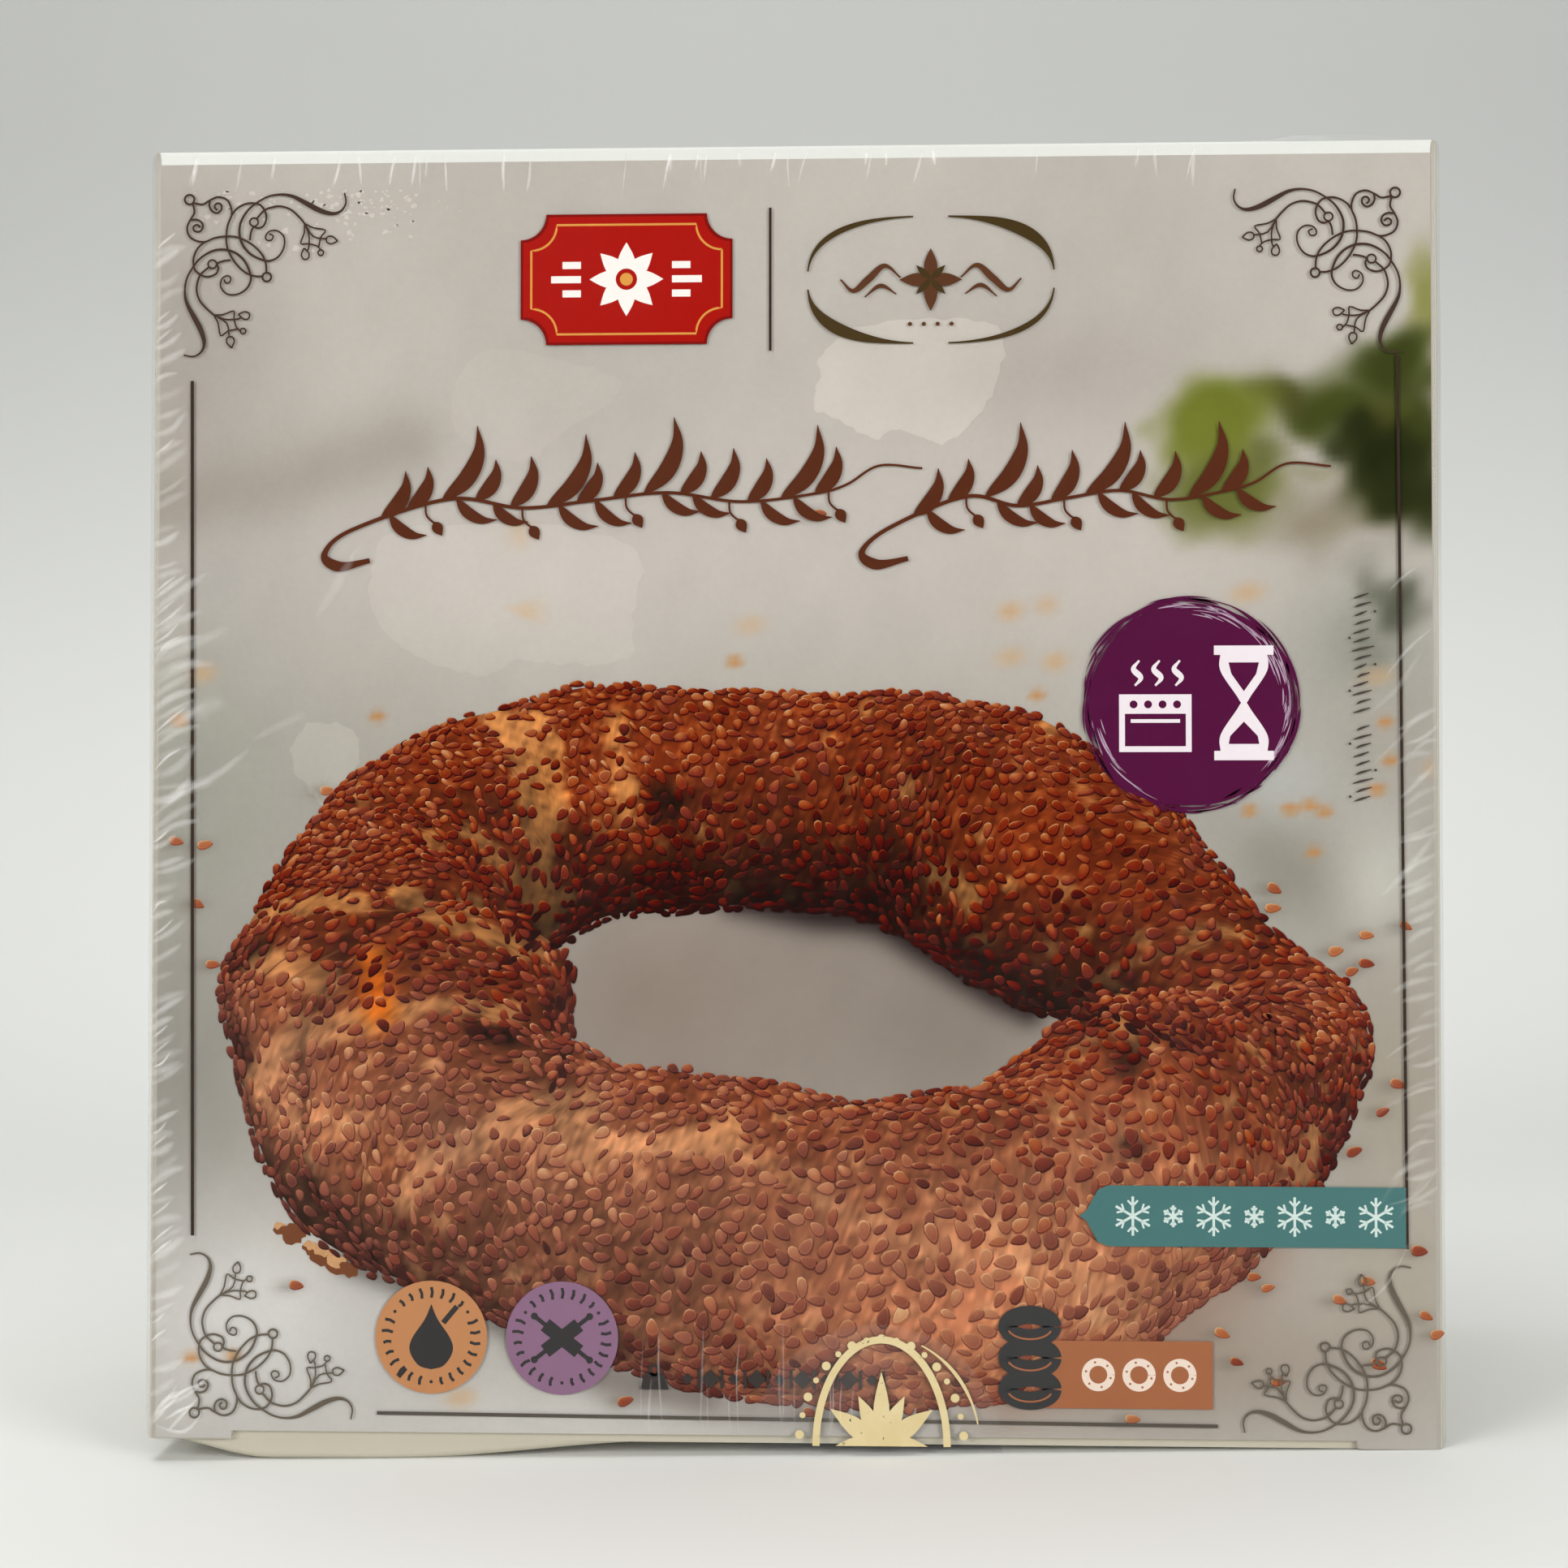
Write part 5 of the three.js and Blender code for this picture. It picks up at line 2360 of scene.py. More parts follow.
@dataclass
class CornerOrnaments:
    """Pen-drawn scrolls in the four corners, alike on both sides of each corner's diagonal."""

    ink: InkFinish = InkFinish("scroll_ink", shade(64, 46, 36))
    faded: InkFinish = InkFinish("faded_scroll_ink", shade(98, 88, 76))
    thin: float = 0.29
    rise: float = 0.0005
    outer_loop: Point = (11.04, 11.08)
    edge = (
        (0.5, 0.46), (1.85, 0.69), (2.83, 0.15), (4.06, -0.34), (5.3, 0.07), (5.91, 1.18), (5.99, 2.29),
        (5.54, 3.4), (5.3, 4.63), (5.3, 6.35), (5.79, 7.83), (6.77, 9.31), (8.0, 10.42), (9.24, 10.91),
        (10.47, 10.98),
    )
    curl = (
        (2.9, 0.2), (2.83, 0.94), (3.2, 1.67), (3.94, 1.92), (4.55, 1.43), (4.43, 0.69), (3.87, 0.57),
        (3.57, 1.06), (3.94, 1.55),
    )
    swash = (
        (22.04, -0.74), (22.24, 0.69), (21.55, 1.8), (20.32, 2.17), (18.6, 1.72), (16.63, 0.69),
        (14.66, -0.34), (12.93, -0.62), (11.21, -0.34), (9.61, 0.52), (8.25, 1.67), (7.27, 3.4),
        (7.14, 5.12), (7.64, 6.6), (8.74, 7.83), (10.22, 8.57), (11.45, 8.77), (12.68, 8.2), (13.47, 6.85),
        (13.42, 5.37), (12.44, 4.51), (11.33, 4.63), (10.84, 5.37), (11.08, 5.86), (11.7, 5.81),
        (11.9, 5.25), (11.33, 4.93),
    )
    tendril = (
        (5.99, 2.29), (6.65, 1.43), (7.64, 0.81), (8.74, 0.57), (9.98, 0.81), (10.71, 1.67), (10.96, 2.66),
        (10.59, 3.77), (9.85, 4.14), (9.11, 4.01), (8.74, 4.88), (8.62, 5.86),
    )
    stem = (
        (9.6, 2.78), (10.59, 1.67), (11.58, 1.23), (12.93, 1.06), (14.41, 1.55), (15.64, 2.66), (16.38, 3.52),
    )
    prongs = (
        ((16.33, 4.88), (15.84, 6.35), (16.87, 6.4), (18.1, 6.72), (18.8, 7.4)),
        ((17.6, 4.14), (19.34, 4.51), (18.72, 5.49), (18.4, 6.85)),
        ((17.0, 5.12), (17.0, 6.85), (16.75, 7.46)),
        ((17.6, 5.37), (19.58, 5.74)),
    )
    drop = ((0, 1.0), (0.52, 0.2), (0.42, -0.45), (0, -0.62), (-0.42, -0.45), (-0.52, 0.2), (0, 1.0))
    corners = (
        ("top_left", (-84.8, 174.2), (1, -1)), ("top_right", (84.0, 173.6), (-1, -1)),
        ("bottom_left", (-83.3, 3.7), (1, 1)), ("bottom_right", (84.7, 3.0), (-1, 1)),
    )
    top_side: float = 84.0
    top_inset: float = 7.0
    rosette_gap: float = 1.4

    def _half(self) -> Iterable[tuple[Array, object]]:
        """Draws the strokes on one side of the diagonal, from the corner's loop.

        Yields:
            Each stroke's line, and its width or widths.
        """
        thin = self.thin
        yield spline(self.edge, 4), thin
        yield spline(self.curl, 4), thin
        swash = spline(self.swash, 4)
        along = np.linspace(0, 1, len(swash))
        yield swash, thin * 0.8 + 0.5 * hump(along, 0.17, 0.07) + 0.12 * hump(along, 0.5, 0.16)
        yield spline(self.tendril, 4), thin
        yield arc((9.19, 3.28), (0.6, 0.6), (0, 360), 16), thin * 0.9
        yield spline(self.stem, 4), thin
        yield from self._finial()

    def _finial(self) -> Iterable[tuple[Array, float]]:
        """Draws the small three-pronged end of the stem.

        Yields:
            Each stroke's line and its width.
        """
        thin = self.thin * 0.8
        for stroke in self.prongs:
            yield spline((self.stem[-1], *stroke), 3), thin
        yield arc((18.7, 7.7), (0.4, 0.4), (0, 360), 12), thin
        for middle, degrees in (((16.5, 8.0), 170), ((20.1, 5.9), -80)):
            yield turned(spline(self.drop, 3), degrees, middle), thin

    def build(self) -> None:
        """Draws the corners of the front, the back and the top, and a rosette of four on each hidden side."""
        back = Layer("scrolls_back", LIFT.lines, Panel.BACK)
        for name, corner, way in self.corners:
            layer = Layer(f"scroll_{name}", LIFT.lines)
            self._corner(layer, corner, way)
            self._corner(back, corner, way)
            layer.make(Slot.INK, self.ink if way[1] < 0 else self.faded)
        back.make(Slot.INK, self.ink)
        top = Layer("scrolls_top", LIFT.top, Panel.TOP)
        signs = [(right, up) for right in (-1, 1) for up in (1, -1)]
        for right, up in signs:
            level = self.top_inset if up > 0 else SIZE.depth - self.top_inset
            self._corner(top, (-self.top_side * right, level), (right, up))
        top.make(Slot.INK, self.ink)
        for panel in (Panel.LEFT, Panel.RIGHT, Panel.BACK):
            rosette = Layer(f"rosette_{panel.value}", LIFT.lines, panel)
            for right in (-1, 1):
                for up in (-1, 1):
                    middle = (self.rosette_gap * right, SIZE.height / 2 + self.rosette_gap * up)
                    self._corner(rosette, middle, (right, up))
            rosette.make(Slot.INK, self.ink)

    def _corner(self, layer: Layer, corner: Point, way: tuple[int, int]) -> None:
        """Draws one corner.

        Args:
            layer: The layer that takes the strokes.
            corner: Where the corner's loop lies.
            way: Which way is inward, as signs to the right and up.
        """
        rise = 0.0
        for line, widths in self._half():
            for stroke in (line, line[:, ::-1]):
                layer.ribbon(stroke * way + corner, widths, 0, rise)
                rise += self.rise
        layer.ring(corner, 0.68, self.thin, 0, rise)
        layer.ring(np.array(self.outer_loop) * way + corner, 0.62, self.thin, 0, rise)


@dataclass
class Rules:
    """The thin straight lines that frame the panels."""

    ink: InkFinish = InkFinish("rule_ink", shade(52, 38, 30))
    grey: InkFinish = InkFinish("grey_rule_ink", shade(84, 78, 70))
    width: float = 0.46
    side: float = 84.2
    side_ends: Point = (148.5, 28.4)
    levels: Point = (3.9, 174.0)
    reach: float = 58.0
    top_inset: float = 7.0
    wall_inset: float = 5.5
    wall_ends: Point = (14.0, 167.0)
    notch: float = 7.0

    def build(self) -> None:
        """Draws the lines of the front, the back, the top and the sides."""
        front = Layer("frame_rules", LIFT.rules)
        front.rule((-84.3, 148.5), (-83.7, 28.4), self.width)
        front.rule((84.2, 151.0), (84.96, 27.6), self.width * 0.9)
        front.rule((-57.6, 3.9), (59.0, 3.1), self.width * 1.1, 1)
        front.rule((-2.72, 172.3), (-2.72, 152.2), self.width * 0.8)
        back = Layer("frame_rules_back", LIFT.rules, Panel.BACK)
        for side in (-self.side, self.side):
            back.rule((side, self.side_ends[0]), (side, self.side_ends[1]), self.width)
        self._across(back, self.levels, self.reach)
        top = Layer("frame_rules_top", LIFT.top, Panel.TOP)
        self._across(top, (self.top_inset, SIZE.depth - self.top_inset), self.reach)
        left = self._wall("frame_rules_left", Panel.LEFT)
        right = self._wall("frame_rules_right", Panel.RIGHT)
        for layer in (front, back, top, left, right):
            layer.make(Slot.INK, self.ink, self.grey)

    def _across(self, layer: Layer, levels: Point, reach: float) -> None:
        """Draws a line across the panel at each of two levels, reaching as far to both sides."""
        for level in levels:
            layer.rule((-reach, level), (reach, level), self.width)

    def _wall(self, name: str, panel: Panel) -> Layer:
        """Draws the frame of a side panel, with its corners notched round.

        Args:
            name: The piece's name.
            panel: The panel.

        Returns:
            The layer with the frame on it.
        """
        layer = Layer(name, LIFT.rules, panel)
        half = SIZE.depth / 2 - self.wall_inset
        foot, head = self.wall_ends
        for side in (-half, half):
            layer.rule((side, foot), (side, head), self.width)
        for level, up in ((foot - self.notch, 1), (head + self.notch, -1)):
            self._across(layer, (level,), half - self.notch)
            for side in (-1, 1):
                corner = arc((0, 0), (self.notch, self.notch), (0, 90), 12) * (-side, up)
                layer.ribbon(corner + (side * half, level), self.width)
        return layer


@dataclass
class RedPlaque:
    """A bright red plaque with notched corners, a thin gold line and a white flower between two bars."""

    middle: Point = (-22.9, 162.4)
    half: Point = (14.9, 9.2)
    notch: float = 3.6
    line_inset: float = 1.5
    petals: int = 8
    bars_at: float = 6.4
    bars = ((2.0, 2.6), (0.0, 4.2), (-2.0, 2.6))
    red: InkFinish = InkFinish("red_ink", shade(164, 12, 2), 0.08)
    gold: InkFinish = InkFinish("gold_line_ink", shade(214, 150, 70))
    white: InkFinish = InkFinish("white_ink", shade(240, 234, 228), 0.05)
    dark: InkFinish = InkFinish("deep_red_ink", shade(122, 6, 2), 0.08)

    def _frame(self, inset: float) -> Array:
        """Draws the plaque's outline, with its corners notched round.

        Args:
            inset: How far it is drawn in.

        Returns:
            Its points.
        """
        a, b = self.half[0] - inset, self.half[1] - inset
        corners = (((a, b), (270, 180)), ((-a, b), (360, 270)), ((-a, -b), (90, 0)), ((a, -b), (180, 90)))
        parts = [arc(corner, (self.notch, self.notch), degrees, 10) for corner, degrees in corners]
        return np.concatenate(parts) + self.middle

    def build(self) -> None:
        """Draws the plaque, in red, gold, white and dark red."""
        layer = Layer("red_plaque", LIFT.lines)
        layer.polygon(self._frame(0), 3)
        layer.polygon(self._frame(0.35), 0, 0.003)
        line = self._frame(self.line_inset)
        layer.ribbon(np.concatenate([line, line[:1]]), 0.3, 1, 0.006)
        u, v = self.middle
        for k in range(self.petals):
            layer.polygon(turned(petal(5.2, 2.5), k * 360 / self.petals, self.middle), 2, 0.009 + 0.001 * k)
        layer.disc(self.middle, 1.5, 0, 0.02)
        layer.disc(self.middle, 0.9, 1, 0.023)
        for side in (-1, 1):
            for row, length in self.bars:
                start = u + side * self.bars_at
                layer.rule((start, v + row), (start + side * length, v + row), 1.0, 2, 0.009)
        layer.make(Slot.INK, self.red, self.gold, self.white, self.dark)


@dataclass
class OlivePlaque:
    """A light cartouche of four swelling strokes round a small star of leaves."""

    middle: Point = (19.7, 162.0)
    half: Point = (17.2, 8.9)
    squareness: float = 0.80
    thick: float = 1.7
    slender: float = 0.8
    waves = (
        (((4.2, 0.3), (6.4, 2.0), (8.6, 0.2), (10.8, -1.5), (12.6, 0.1)), 0.25, 1.0, 0.004),
        (((4.8, -2.0), (7.0, -0.8), (9.2, -2.4)), 0.2, 0.6, 0.006),
    )
    ink: InkFinish = InkFinish("olive_ink", shade(66, 50, 20))
    brown: InkFinish = InkFinish("brown_ink", shade(88, 52, 30))

    def build(self) -> None:
        """Draws the cartouche, in olive and brown."""
        layer = Layer("olive_cartouche", LIFT.lines)
        angle = np.radians(np.linspace(5, 85, 28))
        bracket = np.stack([np.cos(angle), np.sin(angle)], 1) ** self.squareness * self.half
        signs = [(right, up) for right in (-1, 1) for up in (-1, 1)]
        for number, (right, up) in enumerate(signs):
            widths = swelling(len(bracket), 0.22, self.thick if right == up else self.slender, 1.6)
            layer.ribbon(bracket * (right, up) + self.middle, widths, 0, 0.001 * number)
        for degrees in range(0, 360, 90):
            layer.polygon(turned(petal(4.4, 1.9), degrees, self.middle), 1, 0.004)
            layer.polygon(turned(petal(2.9, 1.0), 45 + degrees, self.middle), 0, 0.008)
        for side in (-1, 1):
            for points, thin, thick, lift in self.waves:
                wave = spline(points) * (side, 1) + self.middle
                layer.ribbon(wave, swelling(len(wave), thin, thick), 1, lift)
        u, v = self.middle
        for k in range(4):
            layer.disc((u - 2.9 + k * 1.93, v - 6.2), 0.3, 1, 0.004, 12)
        layer.make(Slot.INK, self.ink, self.brown)


@dataclass
class TitleSprays:
    """Two slanting sprays of brown leaves and buds, drawn with a broad pen, where a title would stand."""

    ink: InkFinish = InkFinish("title_ink", shade(84, 38, 16), 0.16)
    level: float = 130.6
    thin: float = 0.3
    sprays = ((-58.0, 3.5), (17.5, 60.0))
    lead = ((-1.0, -7.6), (-5.4, -8.4), (-7.4, -6.6), (-3.4, -3.2))
    tip = ((4.5, 2.8), (9.0, 5.4), (15.0, 5.0))
    leaf_shape = ((0, 0), (0.10, 0.38), (0.04, 0.74), (-0.16, 1.0))
    leaf_pitch: float = 4.5
    tall: tuple[int, ...] = (2, 5, 8, 12)
    tall_leaf: float = 11.4

    def build(self) -> None:
        """Draws both sprays."""
        layer = Layer("title_sprays", LIFT.title)
        self.rise = 0.0
        for start, end in self.sprays:
            self._spray(layer, start, end)
        layer.make(Slot.INK, self.ink)

    def _leaf(self, layer: Layer, root: Array, degrees: float, length: float, width: float) -> None:
        """Draws one leaf, bent a little to the right, as one pressed stroke of the pen.

        Args:
            layer: What it is drawn on.
            root: Where it starts.
            degrees: How it is turned from upright.
            length: Its length.
            width: How wide its stroke swells.
        """
        stroke = spline(turned(np.array(self.leaf_shape) * length, degrees, root), 7)
        along = np.linspace(0, 1, len(stroke))
        swell = np.sin(math.pi * along**0.72) ** 1.15
        layer.ribbon(stroke, 0.10 + width * swell, 0, self.rise)
        self.rise += 0.0006

    def _stem(self, start: float, end: float) -> Array:
        """Draws a spray's stem from its curl to its tip.

        Args:
            start: Where its first leaf stands.
            end: Where its last one stands.

        Returns:
            The stem's points.
        """
        level = self.level
        lead = [(start + u, level + v) for u, v in self.lead]
        middle = [
            (start + (end - start) * k / 6, level + 0.9 * math.sin(k * 2.1) + 0.25 * k) for k in range(1, 7)]
        tip = [(end + u, level + v) for u, v in self.tip]
        return spline(lead + middle + tip, 12)

    def _spray(self, layer: Layer, start: float, end: float) -> None:
        """Draws one spray.

        Args:
            layer: What it is drawn on.
            start: Where its first leaf stands.
            end: Where its last one stands.
        """
        stem = self._stem(start, end)
        along = np.linspace(0, 1, len(stem))
        layer.ribbon(stem, self.thin + 0.9 * hump(along, 0.10, 0.06) + 0.35 * (1 - along), 0, self.rise)
        self.rise += 0.001
        count = int((end - start) / self.leaf_pitch) + 1
        draw = np.random.default_rng(17)

        def root_at(u: float) -> Array:
            """The stem's point at u, past its curl."""
            curl = 24
            return stem[np.abs(stem[curl:, 0] - u).argmin() + curl]

        for k in range(count):
            u = start + (end - start) * k / (count - 1)
            high = self.tall_leaf if k in self.tall else draw.uniform(6.2, 7.6)
            self._leaf(layer, root_at(u), -34 + draw.uniform(-4, 4), high, 1.65 + 0.06 * high)
            root = root_at(u + 2.0)
            if k % 3 == 1:
                bud = root + (1.6, -3.0)
                layer.ribbon(spline([root, root + (0.2, -1.7), bud], 5), self.thin, 0, self.rise)
                layer.polygon(turned(petal(2.3, 1.6), -150, bud + (-0.4, 0.5)), 0, self.rise + 0.0003)
            else:
                self._leaf(layer, root, -128 + draw.uniform(-5, 5), draw.uniform(5.4, 6.8), 1.55)
            self.rise += 0.001


@dataclass
class OvenBadge:
    """A purple disc with a brushed edge, with a white oven and a sand-glass on it."""

    middle: Point = (55.5, 102.6)
    radius: float = 14.0
    purple: InkFinish = InkFinish("purple_ink", shade(80, 6, 56), 0.10)
    white: InkFinish = InkFinish("badge_white_ink", shade(232, 222, 226), 0.05)
    lavender: InkFinish = InkFinish("badge_bristle_ink", shade(176, 150, 170), 0.2)
    bristles: int = 130
    brushed_at: tuple[int, ...] = (115, 200, 300, 20)
    scraped_at: tuple[int, ...] = (28, 8, 62, -28, 196)
    oven_at: Point = (-4.8, -2.6)
    oven_half: Point = (5.0, 4.0)
    glass_at: Point = (7.4, 0.2)
    glass_cap: Point = (4.1, 7.3)
    glass_side = ((3.2, 7.0), (3.2, 4.4), (0.7, 0.5), (0.7, -0.5), (3.2, -4.4), (3.2, -7.0))
    upper_sand = ((-2.1, 5.6), (2.1, 5.6), (1.7, 4.0), (0, 1.6), (-1.7, 4.0))
    lower_sand = ((-2.1, -5.7), (2.1, -5.7), (1.9, -4.6), (0, -2.6), (-1.9, -4.6))

    def build(self) -> None:
        """Draws the badge, in purple, white and lavender."""
        layer = Layer("oven_badge", LIFT.labels)
        angle = np.linspace(0, 2 * math.pi, 240, endpoint=False)
        ragged = Ripples(91, 0.5).at(np.cos(angle) * 2, np.sin(angle) * 2) * 0.10
        radius = self.radius * (1 + 0.012 * np.sin(2 * angle)) + ragged
        layer.polygon(np.stack([radius * np.cos(angle), radius * np.sin(angle)], 1) + self.middle)
        draw = np.random.default_rng(92)
        for k in range(self.bristles):
            start = draw.choice(self.brushed_at) + draw.normal(0, 34)
            span = draw.uniform(8, 46)
            out = self.radius + draw.uniform(-0.4, 1.0)
            stroke = arc(self.middle, (out, out + draw.uniform(-0.5, 0.6)), (start, start + span), 12)
            layer.ribbon(stroke, swelling(13, 0.02, draw.uniform(0.12, 0.42), 0.8), 0, 0.0015 * (k % 7 + 1))
        for k in range(self.bristles // 2):
            start = draw.choice(self.scraped_at) + draw.normal(0, 12)
            out = self.radius - abs(draw.normal(0, 0.75)) - 0.15
            radii = (out, out + draw.uniform(-0.2, 0.5))
            stroke = arc(self.middle, radii, (start, start + draw.uniform(4, 26)), 10)
            widths = swelling(11, 0.02, draw.uniform(0.08, 0.26), 0.8)
            layer.ribbon(stroke, widths, 2, 0.012 + 0.0015 * (k % 5))
        self._oven(layer)
        self._sand_glass(layer)
        layer.make(Slot.INK, self.purple, self.white, self.lavender)

    def _oven(self, layer: Layer) -> None:
        """Draws the oven, with its window, knobs and rising heat.

        Args:
            layer: What it is drawn on.
        """
        u, v = np.add(self.middle, self.oven_at)
        wide, high = self.oven_half
        layer.box((u - wide, v - high), (u + wide, v + high), 1, 0.02)
        layer.box((u - 4.2, v - 3.2), (u + 4.2, v + 1.3), 0, 0.023)
        layer.rule((u - 3.4, v + 0.3), (u + 3.4, v + 0.3), 0.5, 1, 0.026)
        for x in (-3, -1, 1, 3):
            layer.disc((u + x, v + 2.6), 0.55, 0, 0.023, 16)
        for x in (u - 2.8, u, u + 2.8):
            steam = spline([(x, v + 5.2), (x + 0.8, v + 6.3), (x - 0.2, v + 7.5), (x + 0.6, v + 8.7)])
            layer.ribbon(steam, swelling(len(steam), 0.3, 0.85), 1, 0.02)

    def _sand_glass(self, layer: Layer) -> None:
        """Draws the sand-glass.

        Args:
            layer: What it is drawn on.
        """
        middle = np.add(self.middle, self.glass_at)
        half = spline(self.glass_side)
        layer.polygon(np.concatenate([half, half[::-1] * (-1, 1)]) + middle, 1, 0.02)
        wide, high = self.glass_cap
        for level in (-high, high):
            layer.rule(middle + (-wide, level), middle + (wide, level), 1.3, 1, 0.022)
        for sand in (self.upper_sand, self.lower_sand):
            layer.polygon(np.array(sand) + middle, 0, 0.024)


@dataclass
class SideNote:
    """A thin upright line of small slanted dashes and dots beside the badge."""

    ink: InkFinish = InkFinish("side_note_ink", shade(70, 62, 56))
    u: float = 79.2
    foot: float = 89.6
    pitch: float = 1.22
    count: int = 24
    gap_at: int = 9
    dot_out: float = 1.75

    def build(self) -> None:
        """Draws the line."""
        layer = Layer("side_note", LIFT.lines)
        draw = np.random.default_rng(14)
        for k in range(self.count):
            if k == self.gap_at:
                continue
            u, v = self.u, self.foot + k * self.pitch
            half = draw.uniform(1.5, 2.3) * (1.35 if k % 5 == 2 else 1) / 2
            shift = draw.uniform(-0.25, 0.25)
            dash = [(u - half + shift, v - 0.42), (u - 0.2, v - 0.1), (u + half + shift, v + 0.28)]
            stroke = spline(dash, 3)
            layer.ribbon(stroke, swelling(len(stroke), 0.16, 0.34))
            if k % 3 == 0:
                layer.disc((u + (self.dot_out if k % 2 else -self.dot_out), v + 0.2), 0.2, 0, 0.001, 8)
        layer.make(Slot.INK, self.ink)


@dataclass
class FreezerRibbon:
    """A teal band with a pointed end and a row of pale snow crystals."""

    right: float = 84.8
    low: float = 27.7
    high: float = 36.1
    crystals_from: float = 47.4
    pitch: float = 5.55
    large: float = 2.7
    small: float = 1.5
    teal: InkFinish = InkFinish("teal_ink", shade(70, 114, 112), 0.08)
    pale: InkFinish = InkFinish("pale_ink", shade(206, 222, 216), 0.05)

    def build(self) -> None:
        """Draws the band, in teal and a pale ink."""
        layer = Layer("freezer_ribbon", LIFT.labels)
        middle = (self.low + self.high) / 2
        tip = [(40.0, middle), (41.0, middle + 0.7), (42.6, self.high - 0.6), (44.0, self.high)]
        foot = [(44.0, self.low), (42.6, self.low + 0.6), (41.0, middle - 0.7)]
        layer.polygon([*tip, (self.right, self.high - 0.1), (self.right, self.low), *foot])
        for k in range(7):
            radius = self.small if k % 2 else self.large
            self._crystal(layer, (self.crystals_from + k * self.pitch, middle), radius)
        layer.make(Slot.INK, self.teal, self.pale)

    @staticmethod
    def _crystal(layer: Layer, middle: Point, radius: float) -> None:
        """Draws one snow crystal with six branched arms.

        Args:
            layer: What it is drawn on.
            middle: Its middle.
            radius: How long its arms are.
        """
        for k in range(6):
            arm = turned([(0, 0), (0, radius * 0.5), (0, radius)], k * 60, middle)
            layer.ribbon(arm, 0.36, 1, 0.003 + 0.001 * k)
            for side in (-1, 1):
                twig = turned([(0, radius * 0.52), (side * radius * 0.26, radius * 0.8)], k * 60, middle)
                layer.rule(twig[0], twig[1], 0.28, 1, 0.010 + 0.001 * k)


@dataclass
class CountLabel:
    """A brown label with three little rings, and a dark stack of three rings beside it."""

    low: Point = (35.2, 5.4)
    high: Point = (58.3, 14.7)
    ring_from: float = 42.6
    ring_pitch: float = 5.6
    ring_radius: float = 1.75
    stack_foot: Point = (33.2, 8.0)
    stack_pitch: float = 4.3
    stack_radius: float = 3.1
    brown: InkFinish = InkFinish("label_ink", shade(160, 100, 66), 0.10)
    pale: InkFinish = InkFinish("label_pale_ink", shade(232, 214, 198), 0.05)
    dark: InkFinish = InkFinish("label_dark_ink", shade(56, 56, 56), 0.08)

    def build(self) -> None:
        """Draws the stack and the label."""
        layer = Layer("count_label", LIFT.labels)
        layer.box(self.low, self.high)
        for k in range(3):
            middle = (self.ring_from + k * self.ring_pitch, (self.low[1] + self.high[1]) / 2)
            layer.ring(middle, self.ring_radius, 1.05, 1, 0.004)
            for dot in range(6):
                layer.disc(spoke(middle, dot * 60 + 15, self.ring_radius), 0.17, 0, 0.008, 8)
        stack = Layer("count_stack", LIFT.stack)
        for k in range(3):
            middle = (self.stack_foot[0], self.stack_foot[1] + k * self.stack_pitch)
            stack.ring(middle, self.stack_radius, 2.5, 0, 0.002 * k, 0.52)
            stack.ring(middle, self.stack_radius, 0.25, 1, 0.01 + 0.002 * k, 0.56, (200, 340))
        stack.make(Slot.INK, self.dark, self.brown)
        layer.make(Slot.INK, self.brown, self.pale)


